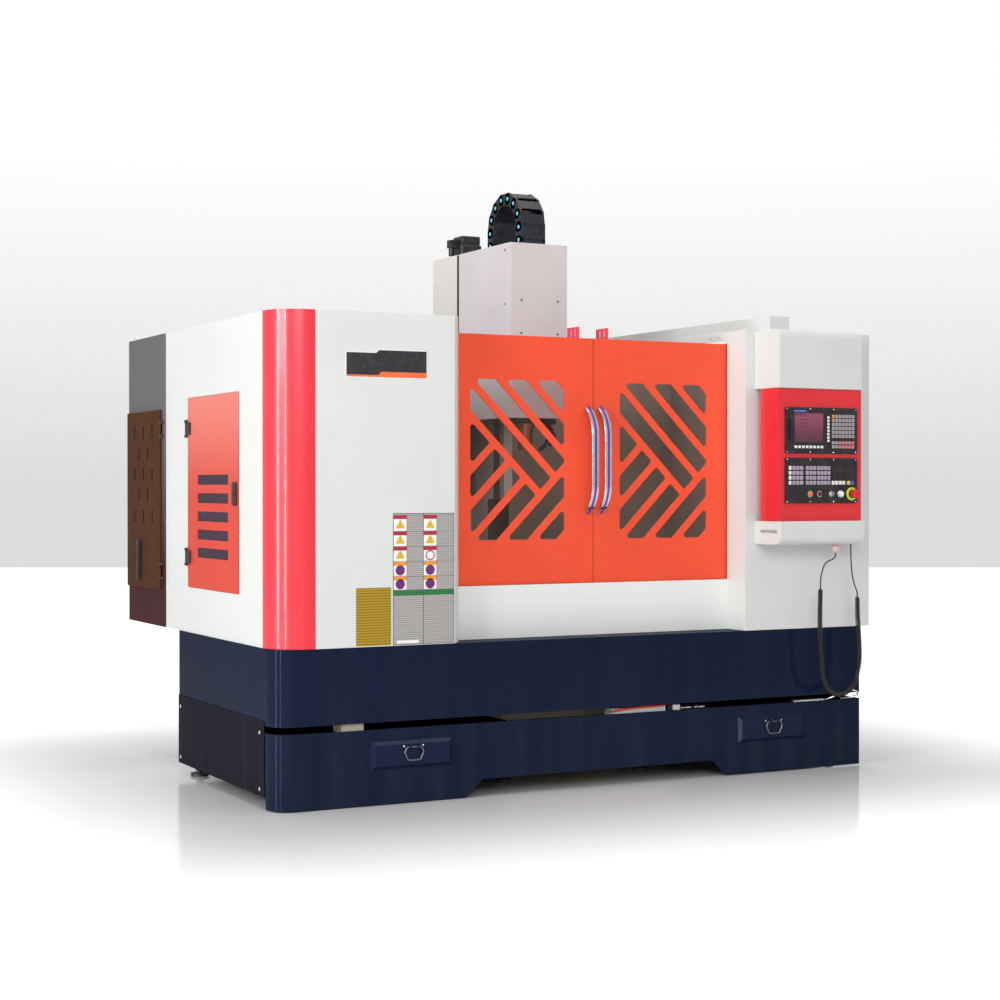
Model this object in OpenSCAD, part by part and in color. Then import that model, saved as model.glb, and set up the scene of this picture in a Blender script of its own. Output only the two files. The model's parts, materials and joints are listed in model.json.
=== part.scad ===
// CNC bed milling machine with a sheet-metal enclosure, sliding doors and an operator pendant.
// Lengths are in millimetres. The places below are measured from a machine datum at the tank's
// left side (X), the enclosure's front face (Y) and the floor (Z); from_datum() then moves every
// part so that the origin is on the floor under the middle of the machine.

/* [Base] */
// Width of the coolant tank and of the skirt above it
base_w = 2910; // [2880:5:2950]
// Depth of the tank and the skirt
base_d = 1209; // [1150:1:1300]
// Radius of the base's left front corner
base_corner_r = 90; // [60:2:98]
// Length of the front cover's return along each side
fascia_return = 100; // [100:2:110]
// Height of the front cover's lower edge above the floor
floor_gap = 5; // [3:1:15]
// Height of the feet, which is also the height of the bed's underside
foot_h = 50; // [40:1:60]
// Height of the tank's top above the floor
tank_top = 312; // [300:1:325]
// Open belt between the tank and the skirt
belt_gap = 28; // [15:1:40]
// Lap of the tank's end covers over the skirt
cover_lap = 20; // [10:1:40]
// Height of the skirt
skirt_h = 310; // [290:5:330]
// Thickness of the folded sheet metal
sheet = 4; // [2:0.5:6]
// Width of the notch under the front cover, at the floor
notch_w = 1318; // [1200:2:1340]
// Height of the notch's top above the floor
notch_top = 75; // [65:1:85]
// Length of the sloping end of the notch
notch_slope = 84; // [60:1:100]

/* [Drawers] */
// Distance of the left drawer's front from the tank's side
drawer_left_x = 418; // [380:1:450]
// Distance of the right drawer's front from the tank's right side
drawer_right_gap = 322; // [290:1:350]
// Width of a drawer's front
drawer_w = 365; // [320:1:400]
// Height of a drawer's front
drawer_h = 114; // [100:1:125]
// Height of a drawer's lower edge above the floor
drawer_z = 147; // [140:1:160]
// Depth of a drawer's tray
drawer_d = 460; // [380:5:520]
// Thickness of a drawer's front
drawer_front_t = 16; // [12:1:20]
// Width of the bevel round a drawer's front
drawer_bevel = 14; // [8:1:16]
// Width of a drawer's drop pull
pull_w = 92; // [80:2:104]
// Height of a drawer's drop pull
pull_h = 58; // [50:1:64]
// Thickness of the pull's rod
pull_rod = 8; // [6:1:9]

/* [Enclosure] */
// Inset of the enclosure's left face from the tank's side
side_inset = 5; // [3:1:10]
// Overhang of the enclosure past the base's right end
enclosure_overhang = 56; // [20:1:80]
// Height of the enclosure
enclosure_h = 1362; // [1330:1:1380]
// Depth of the enclosure
enclosure_d = 1417; // [1350:1:1450]
// Radius of the corner column
column_r = 145; // [120:1:150]
// Width of the corner column's flat front strip
column_flat = 27; // [15:1:40]
// Width of the front block left of the doors
left_block_w = 824; // [810:1:835]
// Width of the front block right of the doors
right_block_w = 706; // [690:1:720]
// Width of the slanting edge beside the left door
block_bevel = 30; // [15:1:40]
// Distance of the sill behind the front face
sill_y = 131; // [120:1:135]
// Height of the door sill above the floor
sill_z = 878; // [860:1:890]
// Width of the beam on top of the enclosure
beam_w = 110; // [80:2:130]
// Height of the beam on top of the enclosure
beam_h = 70; // [50:1:90]
// Distance of the beam's left side from the right end of the enclosure
beam_x = 556; // [500:1:600]
// Length of the beam
beam_d = 1460; // [1400:5:1500]

/* [Sliding doors] */
// Distance of the doors' seam to the right of the opening's middle
seam_shift = 8.5; // [0:0.5:12]
// Distance of the doors' front behind the enclosure's front face
door_y = 149; // [149:1:156]
// Mean lap of a sliding door behind the blocks beside the opening
door_lap = 21.5; // [15:0.5:30]
// Height of a sliding door
door_h = 1077; // [1050:1:1085]
// Depth of a door's folded frame
door_t = 32; // [24:1:36]
// Distance that a door slides open
door_travel = 645; // [600:1:655]
// Width of a door's frame and the rim round its window, at one side
window_side = 129.5; // [120:0.5:140]
// Height of a door's window
window_h = 692; // [660:1:700]
// Height of a window's lower edge above the door's lower edge
window_z = 193; // [180:1:205]
// Width of the slanting bars across a window
rib_w = 32; // [24:1:38]
// Distance between slanting bars, measured along a window's edge
rib_pitch = 150; // [140:1:160]
// Width of a door handle
handle_w = 35; // [28:1:38]
// Height of a door handle
handle_h = 480; // [440:2:500]
// Height of a handle's straight middle
handle_grip = 206; // [160:2:280]
// Reach of a door handle in front of the door
handle_reach = 74; // [60:1:80]
// Thickness of a handle's flat bar
handle_t = 12; // [8:1:14]

/* [Side door] */
// Width of the red door on the left side
side_door_w = 666; // [620:1:700]
// Height of the side door
side_door_h = 843; // [800:1:880]
// Distance of the side door behind the front face
side_door_y = 422; // [400:1:440]
// Height of the side door's lower edge above the floor
side_door_z = 854; // [840:1:870]
// Length of each vent in the side door
vent_w = 400; // [360:5:440]
// Distance between the vents
vent_pitch = 80; // [75:1:86]

/* [Cabinet] */
// Width of the electrical cabinet behind the enclosure
cabinet_w = 700; // [600:5:800]
// Depth of the electrical cabinet
cabinet_d = 575; // [560:1:640]
// Width of the cabinet's door
cabinet_door_w = 519; // [480:1:530]
// Height of the cabinet's door
cabinet_door_h = 838; // [800:1:860]
// Height of the cabinet door's lower edge above the floor
cabinet_door_z = 820; // [800:1:840]

/* [Pendant] */
// Distance of the pendant's right side from the enclosure's right side
pendant_inset = 187; // [170:1:200]
// Width of the pendant
pendant_w = 466; // [450:1:480]
// Distance of the pendant's front in front of the enclosure
pendant_reach = 175; // [160:1:190]
// Height of the shelf's lower face above the floor
shelf_z = 1042; // [1030:1:1060]
// Height of the shelf
shelf_h = 105; // [95:1:115]
// Height of the pendant's red body
pendant_h = 595; // [585:1:610]
// Height of the white hood
hood_h = 263; // [240:1:265]
// Radius of the hood's and the shelf's rounded edges
hood_r = 38; // [25:1:45]
// Width of the control unit and the operator panel
unit_w = 400; // [380:2:420]
// Height of the control unit
unit_h = 207; // [195:1:212]
// Height of the operator panel
panel_h = 204; // [195:1:212]
// Thickness of the control unit's and the operator panel's front plates
unit_t = 8; // [5:1:12]
// Radius of a push button
button_r = 10; // [8:0.5:11]
// Distance that a push button moves
button_travel = 4; // [2:0.5:5]
// Radius of the emergency stop's mushroom
mushroom_r = 19; // [15:0.5:21]

/* [Machine] */
// Width of the bed casting
bed_w = 900; // [860:2:940]
// Height of the bed's top above the floor
bed_top = 760; // [740:1:780]
// Height of the box ways on the bed
way_h = 40; // [30:1:50]
// Depth of the saddle and the table
table_d = 440; // [400:2:450]
// Length of the table
table_w = 1150; // [1100:5:1180]
// Thickness of the table
table_t = 95; // [80:1:110]
// Distance of the spindle's axis behind the front face
spindle_y = 780; // [775:1:790]
// Height of the spindle's nose above the floor
spindle_z = 1474; // [1465:1:1500]
// Radius of the spindle's nose
spindle_r = 35; // [30:1:42]
// Travel of the table to each side
x_travel = 450; // [400:5:460]
// Travel of the saddle each way
y_travel = 180; // [150:2:190]
// Travel of the head down
z_travel = 350; // [300:5:350]
// Width of the upper column and of the head's cover
head_w = 300; // [280:2:320]
// Height of the column's top above the floor
column_top = 2430; // [2400:1:2450]
// Distance of the column's front face behind the front face
column_y = 1200; // [1195:1:1215]
// Depth of the upper column
column_d = 270; // [260:1:290]
// Distance of the head cover's front behind the front face
cover_y = 644; // [630:1:650]
// Height of the head cover's lower edge above the floor
cover_z = 1620; // [1600:1:1640]
// Side of the square motor that drives the head
motor_w = 130; // [110:2:140]
// Length of the motor that drives the head
motor_h = 119; // [100:1:130]
// Radius of the ball screws
screw_r = 16; // [14:1:18]

/* [Drag chain] */
// Length of one link, from pin to pin
link_pitch = 66; // [60:1:70]
// Height of a link
link_h = 57; // [50:1:60]
// Width of the chain
chain_w = 128; // [110:2:140]
// Radius of the bend, at the pins
bend_r = 145; // [140:1:150]
// Height of the bend's centre above the column's top
bend_z = 99; // [80:1:110]

/* [Cord] */
// Outer radius of the curly cord's coil
coil_r = 12; // [10:0.5:13]
// Radius of the straight leads
lead_r = 3; // [2.5:0.5:4]

/* [Hidden] */
$fn = 48;

// Clearances
running = 0.05;     // radial gap of a shaft in its bore
slide_gap = 0.3;    // gap of a sliding face from its seat
door_gap = 2;       // gap round a hung or sliding door
seam = 1;           // gap where the two sliding doors meet

// Heights and planes that the sizes above give
skirt_z = tank_top + belt_gap;
deck_z = skirt_z + skirt_h;
roof_z = deck_z + enclosure_h;
tank_lid_z = tank_top - 12;
encl_l = side_inset;
encl_r = base_w + enclosure_overhang;
block_r = encl_l + left_block_w;
right_x = encl_r - right_block_w;
mid_x = (block_r + right_x) / 2 + seam_shift;
door_w = (right_x - block_r) / 2 + door_lap;
window_w = door_w - 2 * window_side - 16;
drawer_right_x = base_w - drawer_right_gap - drawer_w;
pendant_x = encl_r - pendant_inset - pendant_w;
cabinet_y = enclosure_d;
cabinet_back = cabinet_y + cabinet_d;
door_z = sill_z + slide_gap;
door_top = door_z + door_h;
door_back = door_y + door_t;
rail_h = 18;
rail_w = 24;
ledge_back = door_back + 10;
chamber_w = 2200;
liner_l = mid_x + 2 - chamber_w / 2;
liner_r = liner_l + chamber_w;
liner_front = door_back + 14;
liner_back = column_y + 30;
way_z = bed_top + way_h;
saddle_z = way_z + running;
saddle_t = 90;
x_way_h = 64;
table_z = saddle_z + saddle_t + x_way_h + running;
table_back = spindle_y + table_d / 2;
z_way_d = 40;
z_way_w = 50;
z_way_x = 85;
head_back = column_y - z_way_d - running;
screw_y = column_y + column_d - motor_w / 2 - 10;
screw_low_z = bed_top + 70;
foot_inset = 62;
upper_wall_back = 550;
bed_front = 160;
bed_tail = 700;
bed_back = column_y + bed_tail;
y_bearing = bed_front + 140;
column_half = 300;
column_foot_h = 480;
column_foot_z = bed_top + column_foot_h;
casting_top = cover_z + 280;
z_nut_z = cover_z + 80;
y_screw_z = bed_top + 10;
x_screw_z = table_z - 26;
nut_h = 90;
chain_x = mid_x + 26;
chain_y = spindle_y + 140;
chain_back = chain_y + bend_r + link_h / 2;
chain_z = column_top + bend_z;
chain_drop = 350;
motor_top = column_top + motor_h;
cover_back = column_y - 21;
pendant_front = -pendant_reach;
pendant_back = -45;
body_z = shelf_z + shelf_h;
hood_z = body_z + pendant_h;
unit_x = pendant_x + (pendant_w - unit_w) / 2 + 5;
unit_front = pendant_front - unit_t;
panel_z = body_z + 80;
unit_z = panel_z + panel_h + 19;
button_z = panel_z + 42;
handle_out = 34;
cabinet_door_t = 12;
estop_reach = 45;
front_most = unit_front - estop_reach;
left_most = encl_l - 5 - handle_out;
origin_x = (left_most + encl_r) / 2;
origin_y = (front_most + cabinet_back) / 2;

red = [0.85, 0.2, 0.17];
white = [0.88, 0.87, 0.84];
navy = [0.13, 0.18, 0.28];
steel = [0.62, 0.63, 0.65];
black = [0.1, 0.1, 0.11];
chrome = [0.78, 0.79, 0.82];

module from_datum() {
    translate([-origin_x, -origin_y, 0]) children();
}

// Box between two corners, given as its range along each axis
module slab(x, y, z) {
    translate([x[0], y[0], z[0]]) cube([x[1] - x[0], y[1] - y[0], z[1] - z[0]]);
}

// Profile drawn in Y and Z, run along X
module run_x(x0, x1) {
    translate([x0, 0, 0]) rotate([90, 0, 90]) linear_extrude(x1 - x0) children();
}

// Profile drawn in X and Z, run along Y
module run_y(y0, y1) {
    translate([0, y1, 0]) rotate([90, 0, 0]) linear_extrude(y1 - y0) children();
}

module round_rect(w, h, r) {
    translate([r, 0]) square([w - 2 * r, h]);
    translate([0, r]) square([w, h - 2 * r]);
    for (x = [r, w - r], y = [r, h - r]) translate([x, y]) circle(r);
}

// Cylinder along Y between two planes
module rod_y(x, z, y0, y1, r) {
    translate([x, y1, z]) rotate([90, 0, 0]) cylinder(h = y1 - y0, r = r);
}

// Cylinder along X between two planes
module rod_x(y, z, x0, x1, r) {
    translate([x0, y, z]) rotate([0, 90, 0]) cylinder(h = x1 - x0, r = r);
}

// Small raised screw heads on a face that looks forwards
module screws_y(xs, zs, y, r = 5, h = 2) {
    for (x = xs, z = zs) rod_y(x, z, y - h, y, r);
}

// Plan of the base, set in from its outline, from the front to a given depth
module base_plan(inset, depth) {
    r = base_corner_r;
    translate([r, inset]) square([base_w - inset - r, depth - inset]);
    translate([inset, r]) square([base_w - 2 * inset, depth - r]);
    intersection() {
        translate([r, r]) circle(r - inset);
        square(r);
    }
}

module base_shell(z0, z1, depth) {
    translate([0, 0, z0]) linear_extrude(z1 - z0) difference() {
        base_plan(0, depth);
        base_plan(sheet, depth + 1);
    }
}

// ---- Base ----

module foot(x, y) {
    translate([x, y, 0]) cylinder(h = 14, r = 40);
    translate([x, y, 0]) cylinder(h = foot_h, r = 12);
    translate([x, y, 24]) cylinder(h = 12, r = 20, $fn = 6);
}

module levelling_feet() {
    color(steel) from_datum() {
        for (x = [foot_inset, base_w - foot_inset], y = [fascia_return + 50, base_d - 105]) foot(x, y);
        for (x = [mid_x - bed_w / 2 + 90, mid_x + bed_w / 2 - 90],
            y = [bed_front + 170, bed_back - 200]) foot(x, y);
    }
}

module drawer_pocket(x0, front) {
    g = door_gap;
    slab([x0 + drawer_bevel - g, x0 + drawer_w - drawer_bevel + g], [front, drawer_d + 12],
        [drawer_z + 10 - g, drawer_z + drawer_h - 10 + g]);
}

module coolant_tank() {
    cover_t = 6;
    inner = bed_w / 2 + slide_gap;
    color(navy) from_datum() difference() {
        union() {
            slab([cover_t, mid_x - inner], [104, base_d], [foot_h, tank_lid_z]);
            slab([mid_x + inner, base_w - cover_t], [104, base_d], [foot_h, tank_lid_z]);
            slab([base_corner_r + 6, base_w - base_corner_r - 6], [sheet, 104], [90, tank_lid_z]);
        }
        for (x0 = [drawer_left_x, drawer_right_x]) drawer_pocket(x0, 0);
    }
}

module tank_fascia() {
    notch_x = mid_x - 47 - notch_w / 2;
    color(navy) from_datum() difference() {
        base_shell(floor_gap, tank_top, fascia_return);
        slab([base_w - sheet - 1, base_w + 1], [sheet, fascia_return + 1], [floor_gap - 1, tank_top + 1]);
        run_y(-1, fascia_return + 1) polygon([
            [notch_x, -1], [notch_x + notch_w, -1],
            [notch_x + notch_w - notch_slope, notch_top], [notch_x + notch_slope, notch_top]
        ]);
        for (x0 = [drawer_left_x, drawer_right_x]) drawer_pocket(x0, -1);
    }
}

// Screwed cover plates over the tank's ends, whose outer sheets lap over the skirt
module tank_side_covers() {
    cover_t = 6;
    seat = 0.3;
    face = seat + 3;
    cover_y = [fascia_return + 12, base_d];
    cover_z = [foot_h + 2, skirt_z + cover_lap];
    color(navy) from_datum() {
        for (side = [[-face, -seat, cover_t], [base_w + face, base_w + seat, base_w - cover_t]]) {
            head = side[0] < 0 ? -face - 2 : base_w + face + 2;
            slab([min(side[0], side[1]), max(side[0], side[1])], cover_y, cover_z);
            slab([min(side[0], side[2]), max(side[0], side[2])], [side[0] < 0 ? cover_y[0] : sheet, base_d],
                [cover_z[0], tank_top]);
            for (y = [cover_y[0] + 40, cover_y[1] - 40], z = [cover_z[0] + 30, cover_z[1] - 50])
                rod_x(y, z, min(head, side[0]), max(head, side[0]), 7);
        }
    }
}

module base_skirt() {
    deck_t = 6;
    color(navy) from_datum() difference() {
        union() {
            base_shell(skirt_z, deck_z, base_d);
            translate([0, 0, deck_z - deck_t]) linear_extrude(deck_t) base_plan(sheet / 2, base_d);
        }
        slab([mid_x - bed_w / 2, mid_x + bed_w / 2], [bed_front, base_d + 1], [skirt_z, deck_z + 1]);
    }
}

// Bed casting with a box way along each side of its top
module machine_bed() {
    half = bed_w / 2;
    way_x = bed_w * 0.29;
    way_half = 35;
    pocket = [280, 80, bed_top - foot_h - 240];
    pocket_pitch = 440;
    groove_half = 60;
    color([0.75, 0.7, 0.6]) from_datum() difference() {
        union() {
            slab([mid_x - half, mid_x + half], [bed_front, bed_back], [foot_h, bed_top]);
            for (x = [mid_x - way_x, mid_x + way_x])
                slab([x - way_half, x + way_half], [bed_front + 170, column_y + 50], [bed_top, way_z]);
        }
        for (s = [-1, 1], i = [0:2])
            translate([mid_x + s * (half - 30), bed_front + 360 + i * pocket_pitch, foot_h + 80])
                translate([-pocket[1] / 2, -pocket[0] / 2, 0]) cube([pocket[1], pocket[0], pocket[2]]);
        slab([mid_x - groove_half, mid_x + groove_half], [y_bearing, column_y + 50],
            [bed_top - 60, bed_top + 1]);
    }
    color(steel) from_datum() difference() {
        for (y = [y_bearing, column_y + 5])
            slab([mid_x - 40, mid_x + 40], [y, y + 45], [bed_top - 60, way_z - 6]);
        rod_y(mid_x, y_screw_z, y_bearing - 1, column_y + 51, screw_r + running);
    }
}

// Column casting, open at the front where the nut bracket and the screw run
module column() {
    slot = 50;
    foot_y = column_y + 60;
    half = head_w / 2;
    low = column_foot_z;
    way_front = column_y - z_way_d;
    arm_z = [column_top - 280, column_top - 190];
    rib_half = 100;
    rib_inset = 200;
    rib_drop = 530;
    color([0.72, 0.7, 0.66]) from_datum() {
        difference() {
            union() {
                slab([mid_x - column_half, mid_x + column_half], [foot_y, bed_back - 100], [bed_top, low]);
                slab([mid_x - half, mid_x + half], [column_y, column_y + column_d], [low, column_top]);
                slab([mid_x - rib_half, mid_x + rib_half], [column_y + column_d, bed_back - rib_inset],
                    [low, column_top - rib_drop]);
                for (x = [mid_x - z_way_x - z_way_w, mid_x + z_way_x])
                    slab([x, x + z_way_w], [way_front, column_y], [low, column_top - 30]);
            }
            slab([mid_x - slot, mid_x + slot], [column_y - 1, screw_y + 45],
                [screw_low_z, column_top - 40]);
            slab([mid_x - slot, mid_x + slot], [foot_y - 1, screw_y + 45], [screw_low_z, low]);
            translate([mid_x, screw_y, column_top - 41]) cylinder(h = 42, r = screw_r + running);
        }
        // Bracket behind the drag chain's fixed run
        slab([chain_x - chain_w / 2, chain_x + chain_w / 2], [chain_back + slide_gap, chain_back + 7],
            [arm_z[0] - 10, column_top - 100]);
        slab([chain_x - 34, chain_x + 8], [chain_back + 7, way_front], arm_z);
        slab([chain_x - 34, mid_x + z_way_x + 20], [way_front - 6, way_front], arm_z);
    }
}

// Inner walls of the chamber, its sloping floor and the roofs of the side bays
module chamber_liner() {
    wall_z = [deck_z, roof_z - 2];
    bed_l = mid_x - bed_w / 2;
    bed_r = mid_x + bed_w / 2;
    back_y = [liner_back - sheet, liner_back];
    floor_z = bed_top + 100;
    color([0.62, 0.58, 0.52]) from_datum() {
        slab([liner_l - sheet, liner_l], [liner_front, liner_back], wall_z);
        slab([liner_r, liner_r + sheet], [liner_front, liner_back], wall_z);
        difference() {
            for (x = [[liner_l, mid_x - head_w / 2], [mid_x + head_w / 2, liner_r]])
                slab(x, back_y, [wall_z[0] + 60, wall_z[1]]);
            slab([bed_l - slide_gap, bed_r + slide_gap], [back_y[0] - 1, back_y[1] + 1],
                [deck_z, way_z + slide_gap]);
        }
        for (end = [[liner_l, bed_l], [liner_r, bed_r]]) run_y(liner_front, back_y[0] - 0.5) polygon([
            [end[0], floor_z], [end[0], floor_z + 6], [end[1], bed_top - 14], [end[1], bed_top - 20]
        ]);
    }
}

// ---- Hinges on upright axes ----

hinge_half = 27;
hinge_rod = 6;

// Barrel that turns with a door; the door itself has the leaf that reaches it
module hinge_barrel(x, y, z) {
    translate([x, y, z - hinge_half]) cylinder(h = 2 * hinge_half, r = hinge_rod);
}

// Two fixed knuckles above and below the barrel, with their leaf back to the fixed face
module hinge_knuckles(x, y, z, face, toward) {
    for (s = [hinge_half + slide_gap, -hinge_half - slide_gap - 12]) {
        translate([x, y, z + s]) cylinder(h = 12, r = hinge_rod);
        slab([x, face], [min(y, y + toward * 30), max(y, y + toward * 30)], [z + s, z + s + 12]);
    }
}

side_hinge_x = -4;
side_hinge_y = side_door_y + side_door_w + 3.5;
side_hinge_z = [side_door_z + 134, side_door_z + 707];
cabinet_door_y = cabinet_back - 12 - cabinet_door_w;
cabinet_face = encl_l - 5;
cabinet_hinge_x = cabinet_face - 12;
cabinet_hinge_y = cabinet_door_y - 6;
cabinet_hinge_z = [cabinet_door_z + 90, cabinet_door_z + cabinet_door_h - 90];

// ---- Enclosure ----

// Front block left of the doors, folded back to the sill, with its top
module left_front_panel() {
    x0 = encl_l + column_r + column_flat;
    s = sheet;
    back = door_y - 9;
    color(white) from_datum() {
        translate([0, 0, deck_z]) linear_extrude(enclosure_h) polygon([
            [x0, 0], [block_r - block_bevel, 0], [block_r, block_bevel], [block_r, back],
            [block_r - s, back], [block_r - s, block_bevel + s / 2],
            [block_r - block_bevel - s / 2, s], [x0, s]
        ]);
        slab([x0, block_r - block_bevel - s], [s, back], [roof_z - s, roof_z]);
    }
}

// Quarter-round corner column
module corner_column() {
    c = encl_l + column_r;
    color(red) from_datum() {
        translate([0, 0, deck_z]) linear_extrude(enclosure_h) {
            intersection() {
                translate([c, column_r]) difference() {
                    circle(column_r);
                    circle(column_r - sheet);
                }
                translate([encl_l, 0]) square([column_r, column_r]);
            }
            translate([c, 0]) square([column_flat, sheet]);
        }
        translate([0, 0, roof_z - sheet]) linear_extrude(sheet) intersection() {
            translate([c, column_r]) circle(column_r);
            translate([encl_l, 0]) square([column_r, column_r]);
        }
    }
}

module left_side_panel() {
    g = door_gap;
    color(white) from_datum() {
        difference() {
            slab([encl_l, encl_l + sheet], [column_r, enclosure_d - sheet], [deck_z, roof_z]);
            slab([encl_l - 1, encl_l + sheet + 1], [side_door_y - g, side_door_y + side_door_w + g],
                [side_door_z - g, side_door_z + side_door_h + g]);
        }
        for (z = side_hinge_z) hinge_knuckles(side_hinge_x, side_hinge_y, z, encl_l, 1);
    }
}

module rear_panels() {
    y = [enclosure_d - sheet, enclosure_d];
    bed_edge = bed_w / 2 + slide_gap;
    color(white) from_datum() difference() {
        for (x = [[encl_l, mid_x - column_half], [mid_x + column_half, encl_r]])
            slab(x, y, [deck_z, roof_z]);
        slab([mid_x - bed_edge, mid_x + bed_edge], [y[0] - 1, y[1] + 1], [deck_z - 1, bed_top + slide_gap]);
    }
}

module right_front_panel() {
    back = door_y - 9;
    color(white) from_datum() {
        slab([right_x, encl_r], [0, sheet], [deck_z, roof_z]);
        slab([right_x, right_x + sheet], [sheet, back], [deck_z, roof_z]);
        slab([right_x, right_x + sheet], [sheet, upper_wall_back], [door_top + 17, roof_z]);
        slab([right_x + sheet, encl_r - sheet], [sheet, back], [roof_z - sheet, roof_z]);
    }
}

module right_side_panel() {
    color(white) from_datum() slab([encl_r - sheet, encl_r], [sheet, enclosure_d - sheet],
        [deck_z, roof_z]);
}

// Sill under the doors, its ledge and the rail that carries the doors
module sill_panel() {
    ledge_z = sill_z - rail_h;
    rail_y = door_y + (door_t - rail_w) / 2;
    color(white) from_datum() {
        slab([block_r, right_x], [sill_y, sill_y + sheet], [deck_z, sill_z]);
        slab([encl_l + sheet, encl_r - sheet], [door_y - 4, ledge_back], [ledge_z - sheet, ledge_z]);
        slab([block_r, right_x], [sill_y + sheet, door_y - 4], [ledge_z - sheet, ledge_z]);
        slab([encl_l + sheet, encl_r - sheet], [rail_y, rail_y + rail_w], [ledge_z, sill_z]);
    }
}

module top_beam() {
    x0 = encl_r - beam_x;
    color(white) from_datum() slab([x0, x0 + beam_w], [20, 20 + beam_d], [roof_z, roof_z + beam_h]);
}

// ---- Cabinet ----

module electrical_cabinet() {
    wall = 3;
    rim = 15;
    color([0.3, 0.27, 0.27]) from_datum() {
        difference() {
            slab([cabinet_face, cabinet_face + cabinet_w], [cabinet_y, cabinet_back], [deck_z, roof_z]);
            slab([cabinet_face + wall, cabinet_face + cabinet_w - wall],
                [cabinet_y + wall, cabinet_back - wall],
                [deck_z + wall, roof_z - wall]);
            slab([cabinet_face - 1, cabinet_face + wall + 1],
                [cabinet_door_y + rim, cabinet_door_y + cabinet_door_w - rim],
                [cabinet_door_z + rim, cabinet_door_z + cabinet_door_h - rim]);
        }
        for (z = cabinet_hinge_z) hinge_knuckles(cabinet_hinge_x, cabinet_hinge_y, z, cabinet_face, -1);
    }
}

// Mounting plate with the drives and the switchgear
module cabinet_gear() {
    plate_x = cabinet_face + cabinet_w - 3;
    color(steel) from_datum() {
        slab([plate_x - 4, plate_x], [cabinet_y + 60, cabinet_back - 40], [deck_z + 120, roof_z - 100]);
        for (i = [0:3]) translate([plate_x - 180, cabinet_y + 80 + i * 100, deck_z + 650])
            cube([176, 80, 340]);
        for (i = [0:5]) translate([plate_x - 100, cabinet_y + 80 + i * 66, deck_z + 350])
            cube([96, 55, 110]);
    }
}

// Door of the cabinet, with staggered rows of short upright louvres
module cabinet_door() {
    y0 = cabinet_door_y;
    x0 = cabinet_face - slide_gap - cabinet_door_t;
    top = cabinet_door_z + cabinet_door_h;
    slit = 14;
    row_h = 62;
    row_pitch = 100;
    slit_pitch = 140;
    color([0.36, 0.32, 0.32]) from_datum() {
        difference() {
            slab([x0, x0 + cabinet_door_t], [y0, y0 + cabinet_door_w], [cabinet_door_z, top]);
            slab([x0 + 2, x0 + cabinet_door_t + 1], [y0 + 18, y0 + cabinet_door_w - 18],
                [cabinet_door_z + 18, top - 18]);
            for (row = [0:4], i = [0:(row % 2 == 0 ? 2 : 1)])
                translate([0, y0 + 110 + (i + row % 2 / 2) * slit_pitch, top - 68 - row * row_pitch])
                    slab([x0 - 1, x0 + 3], [0, slit], [-row_h, 0]);
        }
        for (z = cabinet_hinge_z) {
            hinge_barrel(cabinet_hinge_x, cabinet_hinge_y, z);
            slab([x0, x0 + 6], [cabinet_hinge_y, y0 + 1], [z - hinge_half, z + hinge_half]);
        }
    }
}

// Long lever that turns to unlatch the cabinet
module cabinet_handle() {
    y = cabinet_back - 246;
    pivot_z = cabinet_door_z + 200;
    face = cabinet_face - slide_gap - cabinet_door_t;
    color(black) from_datum() {
        rod_x(y, pivot_z, face - 14, face - running, 14);
        slab([cabinet_face - handle_out, face - 12], [y - 12, y + 12], [pivot_z - 160, pivot_z + 30]);
    }
}

// ---- Pendant ----

module pendant_hood() {
    x = [pendant_x, pendant_x + pendant_w];
    front = pendant_front - 10;
    color(white) from_datum() intersection() {
        run_x(x[0], x[1]) {
            translate([front, hood_z]) square([-front, hood_h - hood_r]);
            translate([front + hood_r, hood_z]) square([-front - hood_r, hood_h]);
            translate([front + hood_r, hood_z + hood_h - hood_r]) circle(hood_r);
        }
        run_y(front - 1, 1) {
            translate([x[0], hood_z]) square([pendant_w, hood_h - hood_r]);
            translate([x[0], hood_z]) square([pendant_w - hood_r, hood_h]);
            translate([x[1] - hood_r, hood_z + hood_h - hood_r]) circle(hood_r);
        }
    }
}

// Red body of the pendant, hollow behind its two instruments
module pendant_body() {
    x = [pendant_x, pendant_x + pendant_w];
    wall = 4;
    side = x[1];
    color(red) from_datum() {
        difference() {
            slab(x, [pendant_front, pendant_back], [body_z, hood_z]);
            slab([x[0] + wall, x[1] - wall], [pendant_front + wall, pendant_back - wall],
                [body_z + wall, hood_z - wall]);
            slab([unit_x + 12, unit_x + unit_w - 12], [pendant_front - 1, pendant_front + wall + 1],
                [unit_z + 12, unit_z + unit_h - 12]);
            slab([unit_x + 12, unit_x + unit_w - 12], [pendant_front - 1, pendant_front + wall + 1],
                [panel_z + 12, panel_z + panel_h - 12]);
        }
        slab([x[0] + 40, x[1] - 40], [pendant_back, 0], [body_z + 40, hood_z - 40]);
        for (z = [43, 128, 318]) rod_x(cord_y, body_z + z, side, side + 5, 20);
    }
}

// Shelf with a rounded lower front edge
module pendant_shelf() {
    x = [pendant_x, pendant_x + pendant_w + 6];
    front = pendant_front - 22;
    r = hood_r;
    color(white) from_datum() run_x(x[0], x[1]) {
        translate([front, shelf_z + r]) square([-front, shelf_h - r]);
        translate([front + r, shelf_z]) square([-front - r, shelf_h]);
        translate([front + r, shelf_z + r]) circle(r);
    }
}

module unit_plate(z0, h) {
    run_y(unit_front, pendant_front) translate([unit_x, z0]) round_rect(unit_w, h, 5);
}

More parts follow.
